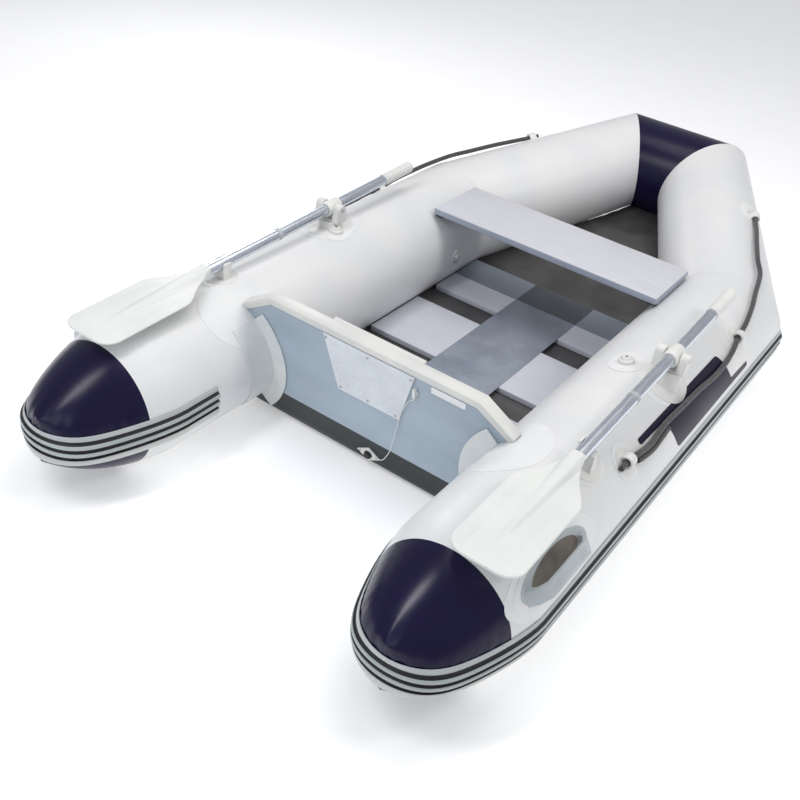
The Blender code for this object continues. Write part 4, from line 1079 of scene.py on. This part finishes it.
def oarParts(word):
    body = word + "_oar"
    lengthwise = oarPlace(word) @ Matrix.Rotation(-math.pi / 2, 4, "X")
    r = oarLook["shaft"]
    bladePiece(word)
    refine(word + "_oar_lower_shaft", "aluminium", 0.0)
    refine(word + "_oar_upper_shaft", "aluminium", 0.0)
    sleeve = [(r + out, y) for out, y in jointBand]
    turnedPiece(word + "JointBand", sleeve, lengthwise, "greyPlastic", body, slotName="white_plastic")
    start, pitch, wide, narrow = (gripLook[key] for key in ("firstGroove", "pitch", "radius", "grooveRadius"))
    shape = list(gripLook["foot"])
    for i in range(gripLook["grooves"]):
        y = start + i * pitch
        shape += [(wide, y - 0.0021), (narrow, y - 0.0010), (narrow, y + 0.0010), (wide, y + 0.0021)]
    shape += gripLook["end"]
    stands = word + "_oar_grip"
    turnedPiece(word + "Grip", shape, lengthwise, "whitePlastic", body, stands)
    refine(word + "_oar_collar", "whitePlastic", 0.0006)
    refine(word + "_snap_button", "steel", 0.0)


# Fittings on the tubes
softened = {  # how far each fitting's edges are rounded
    "_rowlock_fork": 0.0010, "_rowlock_base": 0.0006, "_oar_clip": 0.0006,
    "_aft_rope_eye": 0.0005, "_middle_rope_eye": 0.0005, "_forward_rope_eye": 0.0005,
}


def fittingParts(word):
    for node, edge in softened.items():
        refine(word + node, "whitePlastic", edge)
    carryHandle(word)
    refine(word + "_valve_seat", "whitePlastic", 0.0006)
    refine(word + "_valve_cap", "greyPlastic", 0.0)
    refine(word + "_ring_tab", "whitePlastic", 0.0004, slotName="white_pvc")
    refine(word + "_d_ring", "steel", 0.0, crease=50)


# The glued boss beside each rowlock, with the screw sunk in it
bossLook = {
    "station": 0.447,
    "angle": {"port": 96, "starboard": 101},
    "profile": [
        (0.0, -0.002), (0.021, -0.002), (0.021, 0.006), (0.0195, 0.0085), (0.015, 0.0105),
        (0.0125, 0.0150), (0.0105, 0.0165), (0.0042, 0.0165), (0.0036, 0.0150), (0.0, 0.0150),
    ],
    "screw": [(0.0, 0.0148), (0.0034, 0.0148), (0.0034, 0.0153), (0.0, 0.0153)],
    "patch": (0.055, 0.042),
}


def rowlockBoss(word):
    side = sideOf[word]
    station, angle = bossLook["station"], bossLook["angle"][word]
    a = math.radians(angle)
    out = Vector((side * math.cos(a), 0, math.sin(a)))
    turn = Matrix((Vector((0, 1, 0)).cross(out), Vector((0, 1, 0)), out)).transposed().to_4x4()
    place = Matrix.Translation(tubePoint(side, station, angle, 0.0)) @ turn
    boss, screw = bossLook["profile"], bossLook["screw"]
    turnedPiece(word + "RowlockBoss", boss, place, "whitePlastic", "hull", (), 40, 30)
    # the sunk screw is painted near-black for the shade in its hole
    turnedPiece(word + "RowlockScrew", screw, place, "darkGap", "hull", (), 20, 30)
    outline = oval(station, arcLength(angle), *bossLook["patch"])
    wrapPatch(word + "RowlockBossPatch", outline, onTube(side), "patchFabric", 0.0016)


handleLook = {
    "station": -0.225,
    "angle": 32.0,
    "rise": 0.034,
    "pitch": 0.0078,
    "dotsHalf": 0.072,
    "footHeight": 0.0032,
    # painted shade: a brown patch on the tube where the handle's bar shades it
    "HandleShade": (35.5, 0.092, 0.030, "hollowBrown", 0.0034, 40),
    "HandleBase": (34, 0.128, 0.046, "handlePlastic", 0.0030, 48),
}


def carryHandle(word):
    side = sideOf[word]
    bm = mergedCopy(word + "_carry_handle")
    softenEdges(bm, 0.0020, 3)
    for face in bm.faces:
        spot = face.calc_center_median()
        reach = math.hypot(spot.x - side * halfSpacing, spot.z - tubeRadius)
        face.material_index = 1 if reach < tubeRadius + handleLook["footHeight"] else 0
    stands = word + "_carry_handle"
    makePiece(word + "CarryHandle", bm, ["handlePlastic", "patchFabric"], "hull", stands, 40)
    # the first patch is painted shade under the bar, the second the handle's own base
    for label in ("HandleShade", "HandleBase"):
        angle, halfLong, halfWide, finish, thick, count = handleLook[label]
        outline = oval(handleLook["station"], arcLength(angle), halfLong, halfWide, count)
        wrapPatch(word + label, outline, onTube(side), finish, thick, 0.0)


def handleGrip(word):
    side = sideOf[word]
    a = math.radians(handleLook["angle"])
    out = Vector((side * math.cos(a), 0, math.sin(a)))
    across = Vector((0, 1, 0)).cross(out)
    base = at(handleLook["station"], side * halfSpacing, tubeRadius)
    base += out * (tubeRadius + handleLook["rise"])
    dots = []
    for row in range(-1, 2):
        for k in range(-8, 9):
            y = (k + 0.5 * (row % 2)) * handleLook["pitch"]
            if abs(y) < handleLook["dotsHalf"]:
                dots.append((base + Vector((0, y, 0)) + across * row * 0.0070, out))
    addStuds(word + "HandleDots", dots, 0.0022, 0.0011, "handlePlastic", 8)


# Lines. Each eye's centre is a rope radius and a little more off the tube
braid = {"strands": 6, "pitch": 0.026, "around": 24}
lineLook = {"radius": 0.0072, "lift": 0.0084, "step": 0.0016, "tailRadius": 0.0066, "tailLift": 0.0075}
lineRoute = [
    (0.100, 46.3, 0.0), (0.140, 46.3, 0.0), (0.180, 45.0, 0.004), (0.245, 42.6, 0.002), (0.340, 44.3, 0.0),
    (0.452, 43.0, 0.0), (0.548, 41.9, 0.0), (0.640, 39.6, 0.0), (0.720, 39.8, 0.0), (0.790, 43.0, 0.002),
    (0.858, 47.1, 0.0), (0.925, 51.0, 0.004), (1.000, 56.5, 0.006), (1.070, 63.0, 0.008),
]
lineRouteForward = [
    (0.04, 69, 0.009), (0.14, 68, 0.008), (0.27, 64, 0.006),
    (0.38, 59, 0.003), (0.50, 55, 0.0), (0.535, 55, 0.0),
]
tailRoute = [
    (0.172, 41.1, 0.0), (0.190, 39.8, 0.001), (0.245, 38.0, 0.001), (0.300, 38.7, 0.0), (0.345, 39.7, 0.0),
]


def smoothRoute(points, per):
    ends = [points[0] * 2 - points[1], *points, points[-1] * 2 - points[-2]]
    fine = []
    for a, b, c, d in zip(ends, ends[1:], ends[2:], ends[3:]):
        for i in range(per):
            t = i / per
            bend = (2 * a - 5 * b + 4 * c - d) * t * t + (3 * b - a - 3 * c + d) * t ** 3
            fine.append(0.5 * (2 * b + (c - a) * t + bend))
    fine.append(points[-1])
    return fine


def evenRoute(points, spacing):
    fine = smoothRoute(points, 40)
    total = sum((q - p).length for p, q in zip(fine, fine[1:]))
    count = max(2, round(total / spacing))
    found = [fine[0]]
    walked, k = 0.0, 1
    for p, q in zip(fine, fine[1:]):
        step = (q - p).length
        while k < count and walked + step >= total * k / count:
            found.append(p.lerp(q, (total * k / count - walked) / step))
            k += 1
        walked += step
    found.append(fine[-1])
    return found, total


def ropeMesh(route, radius, strands, pitch, around, depth=0.24):
    bm = bmesh.new()
    rows = []
    up = Vector((0, 0, 1))
    walked = 0.0
    last = None
    for i, point in enumerate(route):
        ahead = (route[min(i + 1, len(route) - 1)] - route[max(i - 1, 0)]).normalized()
        side = ahead.cross(up).normalized()
        top = side.cross(ahead).normalized()
        if last is not None:
            walked += (point - last).length
        last = point
        row = []
        for k in range(around):
            a = 2 * math.pi * k / around
            wind = 2 * math.pi * walked / pitch
            bulge = max(abs(math.cos(strands * a / 2 + wind)), abs(math.cos(strands * a / 2 - wind)))
            reach = radius * (1 - depth + depth * bulge)
            row.append(point + side * (math.cos(a) * reach) + top * (math.sin(a) * reach))
        rows.append(row)
    loft(bm, rows)
    return bm


def grabLine(word):
    side = sideOf[word]
    lift = lineLook["lift"]
    points = [tubePoint(side, u, a, lift + more) for u, a, more in lineRoute]
    sections = tubeSections(side)
    along = (sections[2][0] - sections[1][0]).normalized()
    for share, a, more in lineRouteForward:
        centre = sections[1][0].lerp(sections[2][0], share)
        radius = sections[1][3] + (sections[2][3] - sections[1][3]) * share
        spot = ringPoint((centre, along, along, radius), side, a)
        points.append(spot + (spot - centre).normalized() * (lift + more))
    route, total = evenRoute(points, lineLook["step"])
    bm = ropeMesh(route, lineLook["radius"], **braid)
    line = makePiece(word + "GrabLine", bm, "braidedLine", "hull", word + "_grab_line", 70)

    # the spliced tail lies doubled beside the line, forward of the aft eye
    tail = [tubePoint(side, u, a, lineLook["tailLift"] + more) for u, a, more in tailRoute]
    bm = ropeMesh(evenRoute(tail, lineLook["step"])[0], lineLook["tailRadius"], **braid)
    spliced = makePiece(word + "GrabLineTail", bm, "braidedLine", "hull", (), 70)
    declareCord(route, total, 6)


def declareCord(route, total, every):
    path = [tuple(point) for point in route[::every] + [route[-1]]]
    tuple(route[0])


lanyard = {
    "radius": 0.0012,
    "route": [
        (0.136, 0.310, 0.006), (0.118, 0.290, 0.008), (0.100, 0.240, 0.009),
        (0.090, 0.190, 0.009), (0.080, 0.140, 0.009), (0.069, 0.095, 0.009),
        (0.055, 0.064, 0.009), (0.044, 0.050, 0.008), (0.033, 0.043, 0.0065),
    ],
}


def bailerLanyard():
    route, total = evenRoute([transomPoint(*spot) for spot in lanyard["route"]], 0.002)
    bm = ropeMesh(route, lanyard["radius"], 6, 0.006, 12, 0.12)
    line = makePiece("bailerLine", bm, "whitePlastic", "hull", "bailer_lanyard", 70)
    declareCord(route, total, 3)


hullBottom()
floorParts()
thwartParts()
print("stage: floor and thwart")
for word in sideOf:
    oarParts(word)
    fittingParts(word)
    handleGrip(word)
    rowlockBoss(word)
    grabLine(word)
bailerLanyard()
print("stage: oars, fittings and lines")
